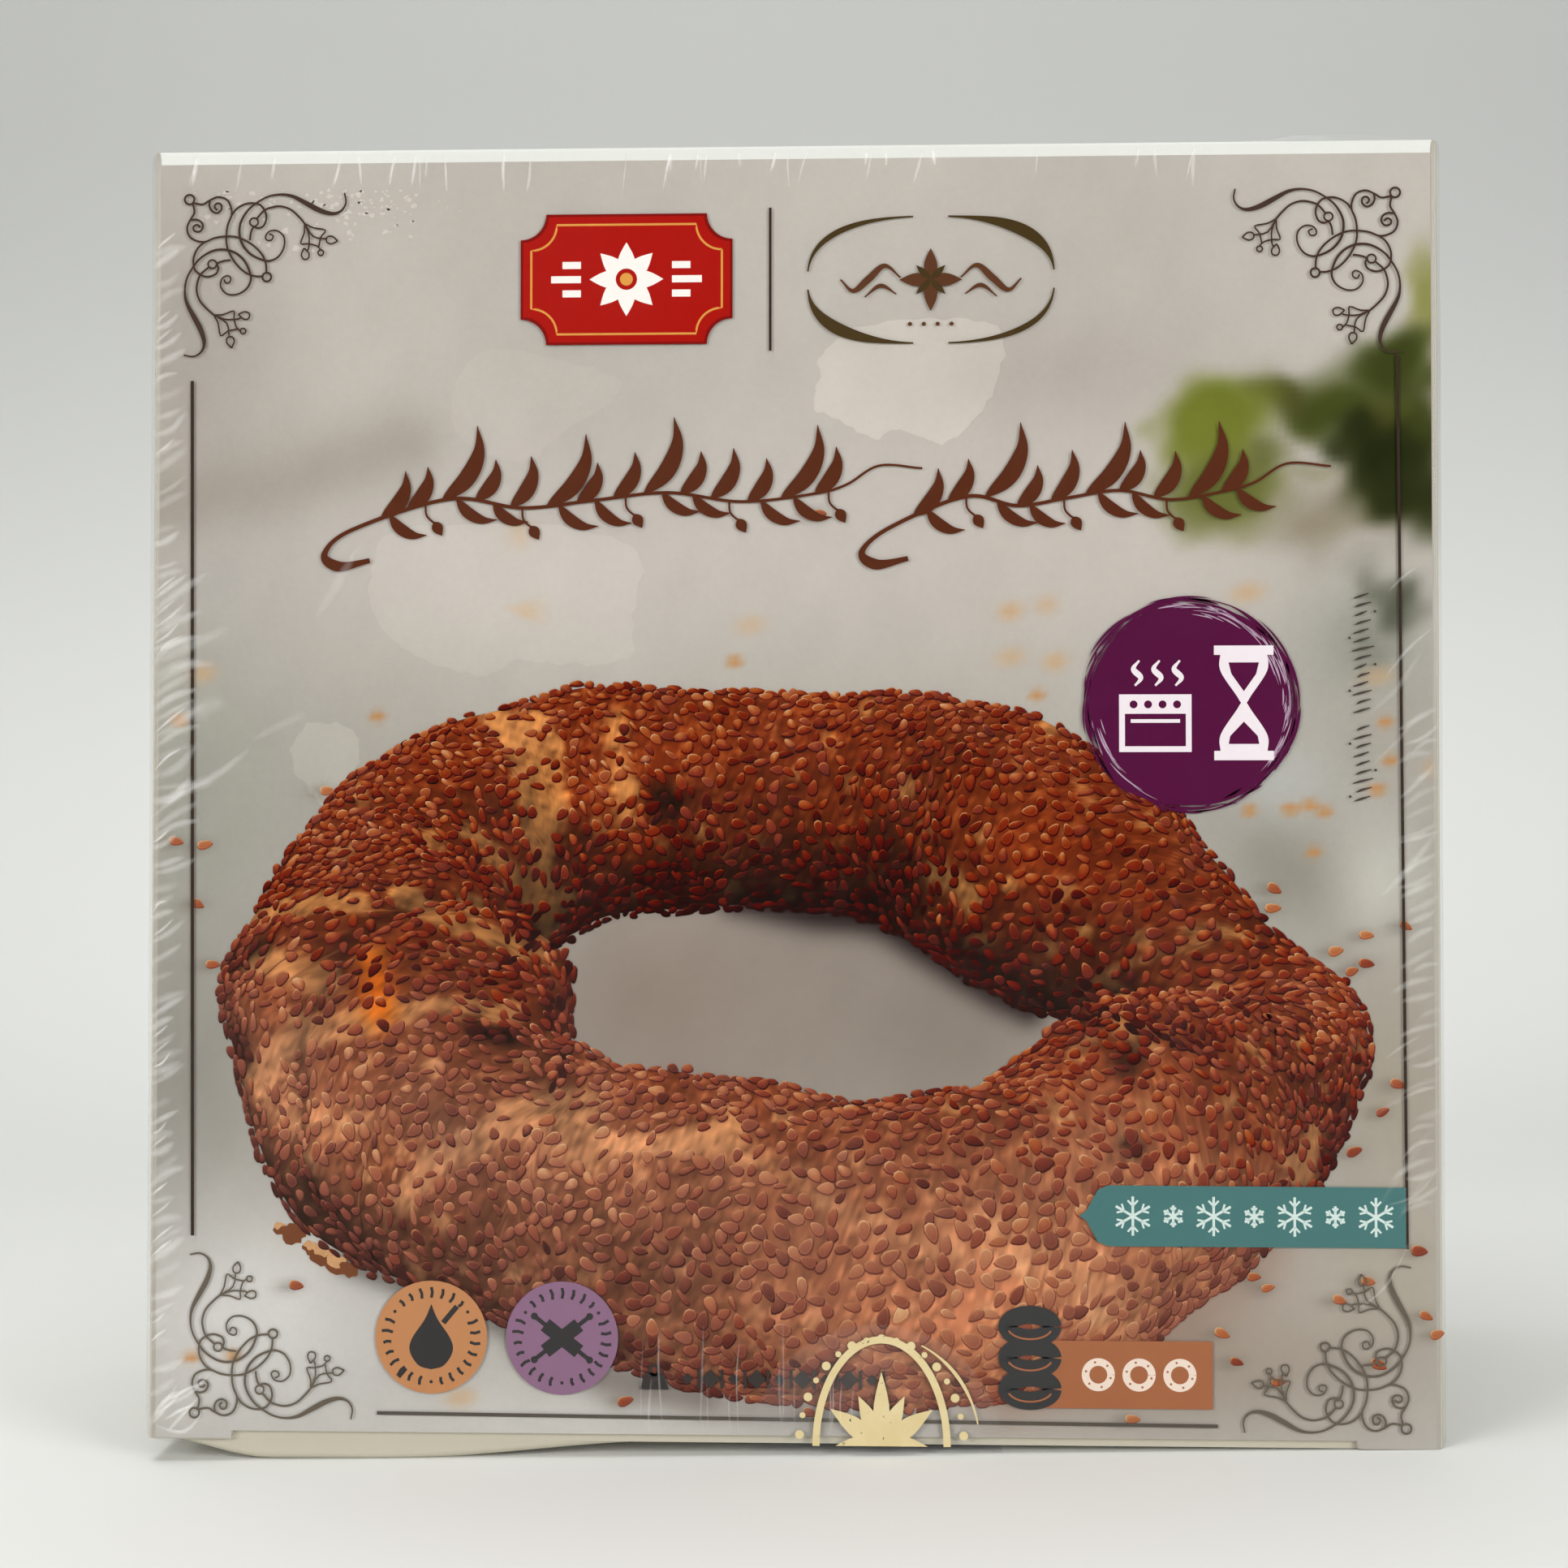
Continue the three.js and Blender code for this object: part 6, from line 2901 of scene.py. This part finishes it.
@dataclass
class RoundIcons:
    """Two round icons: an orange one with a barred drop, a purple one with crossed rolling pins."""

    radius: float = 7.85
    drop_at: Point = (-50.0, 14.5)
    pins_at: Point = (-31.7, 14.5)
    drop_side = ((0, 4.6), (0.9, 2.5), (2.7, -0.2), (3.0, -2.0), (1.8, -3.9), (0, -4.5))
    bar_turn: float = -40.0
    pin_turn: float = 52.0
    pin_body = ((-1, -3), (1, -3), (1, 3), (-1, 3))
    beads: int = 26
    bead_radius: float = 6.2
    orange: InkFinish = InkFinish("orange_ink", shade(186, 130, 86), 0.08)
    violet: InkFinish = InkFinish("violet_ink", shade(136, 102, 128), 0.08)
    dark: InkFinish = InkFinish("icon_dark_ink", shade(52, 50, 50), 0.08)

    def build(self) -> None:
        """Draws the icons."""
        for layer in (self._drop(self.drop_at), self._pins(self.pins_at)):
            layer.make(Slot.INK, self.orange, self.violet, self.dark)

    def _drop(self, middle: Point) -> Layer:
        """Draws the icon with the drop.

        Args:
            middle: Its middle.

        Returns:
            The layer with the icon on it.
        """
        layer = Layer("drop_icon", LIFT.icons)
        layer.disc(middle, self.radius, 0)
        side = spline(self.drop_side)
        layer.polygon(np.concatenate([side, side[::-1][1:-1] * (-1, 1)]) + middle, 2, 0.004)
        for start, end in ((2.6, 5.6), (-5.6, -7.2)):
            layer.rule(spoke(middle, self.bar_turn, start), spoke(middle, self.bar_turn, end), 0.75, 2, 0.006)
        self._beads(layer, middle)
        return layer

    def _pins(self, middle: Point) -> Layer:
        """Draws the icon with the rolling pins.

        Args:
            middle: Its middle.

        Returns:
            The layer with the icon on it.
        """
        layer = Layer("pin_icon", LIFT.icons)
        layer.disc(middle, self.radius, 1)
        for lift, degrees in ((0.004, self.pin_turn), (0.008, -self.pin_turn)):
            layer.polygon(turned(self.pin_body, degrees, middle), 2, lift)
            layer.rule(spoke(middle, degrees, -4.8), spoke(middle, degrees, 4.8), 0.6, 2, lift + 0.002)
            for end in (-4.9, 4.9):
                layer.disc(spoke(middle, degrees, end), 0.5, 2, lift + 0.003, 12)
        self._beads(layer, middle)
        return layer

    def _beads(self, layer: Layer, middle: Point) -> None:
        """Draws a round of short dashes and dots along the rim.

        Args:
            layer: What they are drawn on.
            middle: The icon's middle.
        """
        draw = np.random.default_rng(23)
        for k in range(self.beads):
            degrees = k * 360 / self.beads
            if k % 9 == 4:
                layer.disc(spoke(middle, degrees, self.bead_radius), 0.24, 2, 0.004, 10)
                continue
            reach = draw.uniform(0.5, 0.85)
            line = [(0, self.bead_radius - reach), (0.15, self.bead_radius), (0, self.bead_radius + reach)]
            layer.ribbon(turned(line, degrees, middle), 0.42, 2, 0.004)


@dataclass
class WeightMark:
    """A kitchen weight and a row of small diamonds, low in the middle of the front."""

    ink: InkFinish = InkFinish("weight_ink", shade(56, 50, 48))
    weight_at: Point = (-18.8, 9.0)
    row_from: float = -14.2
    pitch: float = 3.2

    def build(self) -> None:
        """Draws the mark."""
        layer = Layer("weight_mark", LIFT.labels)
        u, v = self.weight_at
        layer.polygon([(u - 2.0, v - 1.5), (u + 2.0, v - 1.5), (u + 1.3, v + 0.8), (u - 1.3, v + 0.8)])
        layer.ring((u, v + 1.15), 0.66, 0.42)
        for k in range(9):
            x = self.row_from + k * self.pitch
            size = 1.35 if k % 2 else 0.8
            layer.polygon([(x - size, v), (x, v - size), (x + size, v), (x, v + size)])
            bar = x + self.pitch / 2
            layer.rule((bar, v - 1.3), (bar, v + 1.3), 0.42)
        layer.make(Slot.INK, self.ink)


@dataclass
class SealPrint:
    """The pale gold print on the round seal: an upright oval, half a flower in it, beads and an outer arc."""

    middle: Point = (12.7, 0.0)
    oval_radius: float = 9.06
    oval_tall: float = 1.62
    petals: int = 7
    beads: int = 17
    bead_radius: float = 11.4
    arc_radius: float = 13.6
    foil: FoilFinish = FoilFinish("gold_foil", shade(214, 192, 134))
    film: FilmFinish = FilmFinish("seal_clear_film", 0.16, 0.008, 0.012, 0.12)

    def build(self) -> None:
        """Gives the seal its clear film and draws the print."""
        seal = frame["nodes"]["seal"]
        seal.data.materials[0] = self.film.make()
        seal.visible_shadow = False
        layer = Layer("seal_print", LIFT.seal)
        v = self.middle[1]
        layer.ring(self.middle, self.oval_radius, 1.0, 0, 0.0, self.oval_tall, (0, 180))
        for k in range(self.petals):
            shape = turned(petal(8.2 if k % 2 else 6.4, 2.3), -90 + k * 30, self.middle)
            shape[:, 1] = np.maximum(shape[:, 1], v + 0.02)
            layer.polygon(shape * (1, 1.25), 0, 0.002 + 0.001 * k)
        for k in range(self.beads):
            spot = spoke(self.middle, -84 + k * 10.5, self.bead_radius)
            layer.disc(spot * (1, 1.3), 0.42 if k % 2 else 0.62, 0, 0.002, 12)
        outer = arc(self.middle, (self.arc_radius, self.arc_radius), (12, 66), 20) * (1, 1.12)
        layer.ribbon(outer, swelling(len(outer), 0.2, 0.5), 0, 0.002)
        layer.make(Slot.SEAL, self.foil)


# ---------------------------------------------------------------- the film


Span = float | Point
Pleat = tuple[Array, float, float]


class Pleater:
    """Draws pleats with chances of its own. A span is a number, or a pair to draw a number between."""

    def __init__(self, seed: int) -> None:
        """Starts the draw from a seed."""
        self.draw = np.random.default_rng(seed)
        self.span = self.draw.uniform

    def line(self, start: Point, run: Point) -> Array:
        """Draws a slightly bent line.

        Args:
            start: Where it starts.
            run: How far it runs to the right and up.

        Returns:
            Its points.
        """
        bend = self.draw.normal(0, 0.06) * math.hypot(*run)
        middle = (start[0] + run[0] / 2 - bend * 0.3, start[1] + run[1] / 2 + bend)
        return spline([start, middle, (start[0] + run[0], start[1] + run[1])], 6)

    def pleat(self, start: Point, run: Point, width: Span, milk: Span) -> Pleat:
        """Draws one pleat.

        Args:
            start: Where it starts.
            run: How far it runs to the right and up.
            width: The span of its width.
            milk: The span of its whitening and painted highlight.

        Returns:
            Its line, its width and its whitening and painted highlight.
        """
        line = self.line(start, run)
        wide, whitening_and_highlight = (self.span(*part) if isinstance(part, tuple) else part for part in (width, milk))
        return line, wide, whitening_and_highlight


@dataclass
class ShrinkFilm:
    """The clear film drawn tight over the carton, with its pleats."""

    gap: float = 0.45
    radius: float = 1.5
    cuts: int = 44
    pocket: float = 0.9
    ridge: float = 0.12
    film: FilmFinish = FilmFinish("clear_film", 0.18, 0.0, 0.003)
    # The pleats' white is partly painted highlight.
    pleat: PleatWhiteAndHighlightFinish = PleatWhiteAndHighlightFinish("pleated_film_and_highlights", "milk")
    seam_at: float = 16.0
    seam_half: float = 3.4
    gathers: int = 44
    # Each lens: its start, its run, its width and its whitening with painted highlight.
    lenses = (
        ((-89.5, 108.6), (11.0, 5.2), 2.0, 0.16), ((-89.5, 105.4), (9.0, 3.2), 1.6, 0.22),
        ((-88.5, 100.5), (9.5, 3.0), 3.4, 0.14), ((-89.5, 96.6), (7.0, 3.4), 1.4, 0.26),
        ((-89.5, 91.0), (14.0, 5.8), 1.5, 0.22), ((-89.5, 88.4), (9.0, 3.6), 1.8, 0.16),
        ((-76.0, 97.5), (9.0, 4.4), 1.4, 0.10), ((-66.8, 114.6), (6.4, 10.6), 1.7, 0.12),
        ((-89.6, 84.0), (7.0, 2.6), 1.2, 0.26), ((-89.6, 79.0), (6.4, 2.2), 1.2, 0.24),
    )

    def build(self) -> None:
        """Builds the film, its pleats, its lap seam and its gathers."""
        self._shell()
        self._ridges("film_pleats", self._pleats())
        self._ridges("film_seam", self._seam(), Panel.BACK)
        gatherer = Pleater(63)
        for panel, half in ((Panel.LEFT, SIZE.back), (Panel.RIGHT, SIZE.back), (Panel.BACK, SIZE.right)):
            self._ridges(f"film_gathers_{panel.value}", self._gathers(gatherer, half), panel)

    def _shell(self) -> None:
        """Makes the film itself, one thin skin all round."""
        s = SIZE
        shell = Bench.start(Primitive.CUBE, "shrink_film", size=1.0, location=(0, 0, s.height / 2 * MM))
        grow = 2 * self.gap
        Bench.edit(shell)
        bpy.ops.transform.resize(value=((s.width + grow) * MM, (s.depth + grow) * MM, (s.height + grow) * MM))
        bpy.ops.mesh.subdivide(number_cuts=self.cuts)
        Bench.pick(shell, Select.EDGES, lambda e: len(e.link_faces) == 2 and e.calc_face_angle() > 1.0)
        Bench.bevel(self.radius, 3)
        Bench.clear()
        Bench.bend(shell, self._drawn_tight)
        Bench.finish(shell, Slot.FILM, [self.film.make()], 60.0)
        Bench.press_flat(shell, 0.02)

    def _drawn_tight(self, flat: Array) -> Array:
        """Draws the box of film onto the carton's bulges, with a slack pocket at the top right.

        Args:
            flat: The places of the box's points from its middle, in metres.

        Returns:
            Their new places.
        """
        s = SIZE
        x, y, z = (flat / MM + (0, 0, s.height / 2)).T
        low = 1 - ease(z, -self.gap, self.gap + 0.5)
        high = ease(z, s.height - 0.5, self.gap + 0.5)
        z = z - s.bottom_bulge(x, y) * low + s.top_crown(x, y) * high
        pocket = np.exp(-(((x - 76) / 8) ** 4)) * np.exp(-(((y - s.front) / 9) ** 2))
        z = z + self.pocket * pocket * high
        slack = np.abs(Ripples(51, 14).at(x, z) * 0.05 + Ripples(52, 5).at(y, z) * 0.04)
        y = y + np.sign(y) * slack * (np.abs(y) > s.back)
        x = x + np.sign(x) * slack * (np.abs(x) > s.right)
        return np.stack([x, y, z - s.height / 2], 1) * MM

    def _pleats(self) -> Iterable[Pleat]:
        """Draws the fine pleats of the front, where the film drew in along its edges.

        Yields:
            The pleats.
        """
        pen = Pleater(61)
        span = pen.span
        edge = SIZE.right + self.gap - 0.3
        v = 6.0
        while v < 168:
            long = span(3.4, 5.6) * (1.5 if 84 < v < 116 else 1)
            rise = span(0.25, 0.75)
            yield pen.pleat((-edge + 0.2, v), (long, long * rise), (0.9, 1.8), (0.10, 0.34))
            if pen.draw.random() < 0.4:
                start = (-edge + 0.6, v + span(0.5, 1.3))
                yield pen.pleat(start, (long * 0.6, long * 0.5), 0.5, (0.3, 0.6))
            v += span(1.6, 3.4)
        for lens in self.lenses:
            yield pen.pleat(*lens)
        for _ in range(12):
            v = 24 + 100 * pen.draw.random()
            long = span(4, 9)
            run = (-long, long * span(-1.6, -0.4))
            yield pen.pleat((edge - span(0, 5), v), run, (0.5, 1.3), (0.05, 0.2))
        for v in np.arange(34.0, 104.0, 2.2):
            long = span(3.5, 6.5)
            start = (edge - span(0.2, 1.4), v + span(-0.5, 0.5))
            yield pen.pleat(start, (-long, -long * span(0.25, 0.6)), (0.8, 1.3), (0.09, 0.22))
        for _ in range(34):
            start = (span(-84, 64), SIZE.height - 0.8)
            yield pen.pleat(start, (span(-1.5, 0.5), -span(2, 6)), (0.3, 0.8), (0.15, 0.5))
        for _ in range(14):
            yield pen.pleat((span(-24, 10), 1.0), (span(-0.6, 0.6), span(5, 17)), (0.25, 0.6), (0.06, 0.2))
        for _ in range(9):
            start = (-edge + span(0, 3), span(0.5, 5))
            yield pen.pleat(start, (span(3, 8), span(2, 6)), 0.7, (0.3, 0.6))

    def _seam(self) -> Iterable[Pleat]:
        """Draws the lap seam down the back, with the crimps across it.

        Yields:
            The lines of the seam.
        """
        pen = Pleater(62)
        half = self.seam_half
        # The seam's lines carry whitening with painted highlight.
        for shift, wide, milk in ((-half, 0.8, 0.5), (0.0, 7.0, 0.10), (half, 1.0, 0.6)):
            u = self.seam_at + shift
            yield np.linspace((u, 1.5), (u, SIZE.height - 2.0), 40), wide, milk
        for v in np.arange(4.0, SIZE.height - 4.0, 2.1):
            start = (self.seam_at - 3.2, v + pen.span(-0.4, 0.4))
            yield pen.pleat(start, (6.4, pen.span(-1.0, 1.0)), 0.5, (0.08, 0.35))

    def _gathers(self, pen: Pleater, half: float) -> Iterable[Pleat]:
        """Draws the slanting pleats in a panel's corners, where the film drew together.

        Args:
            pen: What draws them.
            half: Half the panel's width.

        Yields:
            The pleats.
        """
        span = pen.span
        for k in range(self.gathers):
            side, top = 2 * (k % 2) - 1, k // 2 % 2
            inward = 1 - 2 * top
            u = side * (half - span(0.5, 7.0))
            v = SIZE.height * top + inward * span(1.5, 9.0)
            run = (-side * span(3.0, 16.0), inward * span(3.0, 20.0))
            yield pen.pleat((u, v), run, (0.4, 1.3), (0.08, 0.34))

    def _ridges(self, name: str, lines: Iterable[Pleat], panel: Panel = Panel.FRONT) -> None:
        """Makes low soft ridges, which fade at both ends, along lines on a panel.

        Args:
            name: The piece's name.
            lines: For each, its line, its width and its whitening and painted highlight.
            panel: The panel that they lie on.
        """
        layer = Layer(name, self.gap + 0.03, panel)
        profile = np.array([-0.5, -0.25, 0.0, 0.25, 0.5])
        rounding = np.array([0.0, 0.62, 1.0, 0.62, 0.0])
        whitening_and_highlight_shares = []
        for number, (line, width, milk) in enumerate(lines):
            way = ways(line)
            side = np.stack([-way[:, 1], way[:, 0]], 1)
            fade = np.sin(np.linspace(0, math.pi, len(line))) ** 0.7
            across = profile[::-1, None] * side[:, None] * (width * (0.3 + 0.7 * fade))[:, None, None]
            places = (line[:, None] + across).reshape(-1, 2)
            hill = rounding[None] * fade[:, None]
            lifts = hill.ravel() * self.ridge + 0.0004 * number
            layer.add(np.column_stack([places, lifts]), grid_faces(*hill.shape))
            # Painted highlight: the white is strongest along each ridge's crest.
            whitening_and_highlight_shares.append(hill.ravel() * milk)
        piece = layer.make(Slot.FILM, self.pleat)
        share = np.concatenate(whitening_and_highlight_shares)
        Bench.tint(piece, self.pleat.attribute, np.stack([share, share, share], 1))
        Bench.take(piece)
        bpy.ops.object.shade_smooth()


# ---------------------------------------------------------------- the studio


@dataclass
class Studio:
    """The paper sweep, the lamps and the camera. A lamp has a name, a place, a size, a power and a colour."""

    # The second colour is painted shade at the top of the backdrop.
    paper: StudioFinish = StudioFinish("studio_paper", shade(229, 230, 226), shade(188, 189, 186))
    lens: float = 48.45
    sensor: float = 36.0
    eye: Triple = (8.68, -294.1, 86.54)
    aim: Triple = (-0.8, 0.0, 91.6)
    sweep_width: float = 4.0
    sweep_depth: float = 3.0
    sweep_back: float = 0.75
    sweep_height: float = 2.4
    sweep_round: float = 0.5
    lamps_aim: Triple = (0, -0.04, 0.09)
    lamps = (
        ("left_softbox", (-0.95, -0.85, 0.50), 0.6, 8.4, (1, 0.99, 0.98)),
        ("right_softbox", (1.0, -0.85, 0.45), 0.6, 9.6, (1, 1, 1)),
        ("top_softbox", (-0.1, -0.05, 1.15), 0.8, 8.1, (1, 1, 1)),
    )
    sky: Colour = (0.95, 0.97, 1.0, 1)
    sky_strength: float = 0.19

    def build(self) -> None:
        """Sets the stage."""
        self._sweep()
        for lamp in self.lamps:
            self._lamp(*lamp)
        self._sky()
        self._camera()
        bpy.context.scene.view_settings.view_transform = "Standard"

    def _sweep(self) -> None:
        """The floor, curved up into the backdrop."""
        behind = self.sweep_back - 0.01
        sweep = Bench.start(Primitive.PLANE, "paper_sweep", size=1.0)
        Bench.edit(sweep)
        bpy.ops.transform.resize(value=(self.sweep_width, self.sweep_depth, 1.0))
        bpy.ops.transform.translate(value=(0, self.sweep_back - self.sweep_depth / 2, 0))
        Bench.pick(sweep, Select.EDGES, lambda e: min(v.co.y for v in e.verts) > behind)
        bpy.ops.mesh.extrude_region_move(TRANSFORM_OT_translate={"value": (0, 0, self.sweep_height)})
        Bench.pick(sweep, Select.EDGES, lambda e: all(v.co.y > behind and v.co.z < 0.01 for v in e.verts))
        bpy.ops.mesh.bevel(offset=self.sweep_round, segments=16, affect="EDGES")
        Bench.take(sweep)
        bpy.ops.object.shade_smooth_by_angle(angle=math.radians(60))
        sweep.data.materials.append(self.paper.make())
        sweep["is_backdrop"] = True

    def _lamp(self, name: str, place: Triple, size: float, power: float, tint: Triple) -> None:
        """Hangs one square softbox.

        Args:
            name: Its name.
            place: Where it hangs.
            size: Its side, in metres.
            power: Its power in watts.
            tint: Its colour.
        """
        data = bpy.data.lights.new(name, "AREA")
        data.shape = "SQUARE"
        data.size = size
        data.energy = power
        data.color = tint
        lamp = bpy.data.objects.new(name, data)
        lamp.location = place
        lamp.rotation_euler = (Vector(self.lamps_aim) - Vector(place)).to_track_quat("-Z", "Y").to_euler()
        bpy.context.scene.collection.objects.link(lamp)

    def _sky(self) -> None:
        """A weak even sky."""
        world = bpy.data.worlds.new("room")
        world.use_nodes = True
        backdrop = world.node_tree.nodes["Background"]
        backdrop.inputs["Color"].default_value = self.sky
        backdrop.inputs["Strength"].default_value = self.sky_strength
        bpy.context.scene.world = world

    def _camera(self) -> None:
        """The camera, placed from the carton's own frame."""
        data = bpy.data.cameras.new("portrait_camera")
        data.lens = self.lens
        data.sensor_width = self.sensor
        data.sensor_fit = "HORIZONTAL"
        data.clip_start = 0.01
        camera = bpy.data.objects.new("portrait_camera", data)
        origin = Vector((0, SIZE.front, 0))
        eye, aim = ((origin + Vector(place)) * MM for place in (self.eye, self.aim))
        turn = (aim - eye).to_track_quat("-Z", "Y").to_matrix().to_4x4()
        camera.matrix_world = STAND.matrix @ Matrix.Translation(eye) @ turn
        bpy.context.scene.collection.objects.link(camera)
        bpy.context.scene.camera = camera


def write_sizes() -> None:
    """Works out the box of the solids and the box of the dressed part, as plain lists."""
    boxes = {"cad": CAD_BOX, "visual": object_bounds()}
    plain = {name: [[float(value) for value in corner] for corner in box] for name, box in boxes.items()}


def main() -> None:
    """Builds the carton piece by piece, then the studio round it."""
    logging.basicConfig(level=logging.INFO, format="%(name)s %(message)s")
    for part in (
        CartonBody(), FrontPrint(), WallGrounds(), ClingSheenPatches(), BreadRing(), SeedCoat(), LooseSeeds(),
        CornerOrnaments(), Rules(), RedPlaque(), OlivePlaque(), TitleSprays(), OvenBadge(), SideNote(),
        FreezerRibbon(), CountLabel(), RoundIcons(), WeightMark(), SealPrint(), ShrinkFilm(), Studio(),
    ):
        part.build()
        log.info("built %s", type(part).__name__)


if __name__ == "__main__":
    main()
    write_sizes()
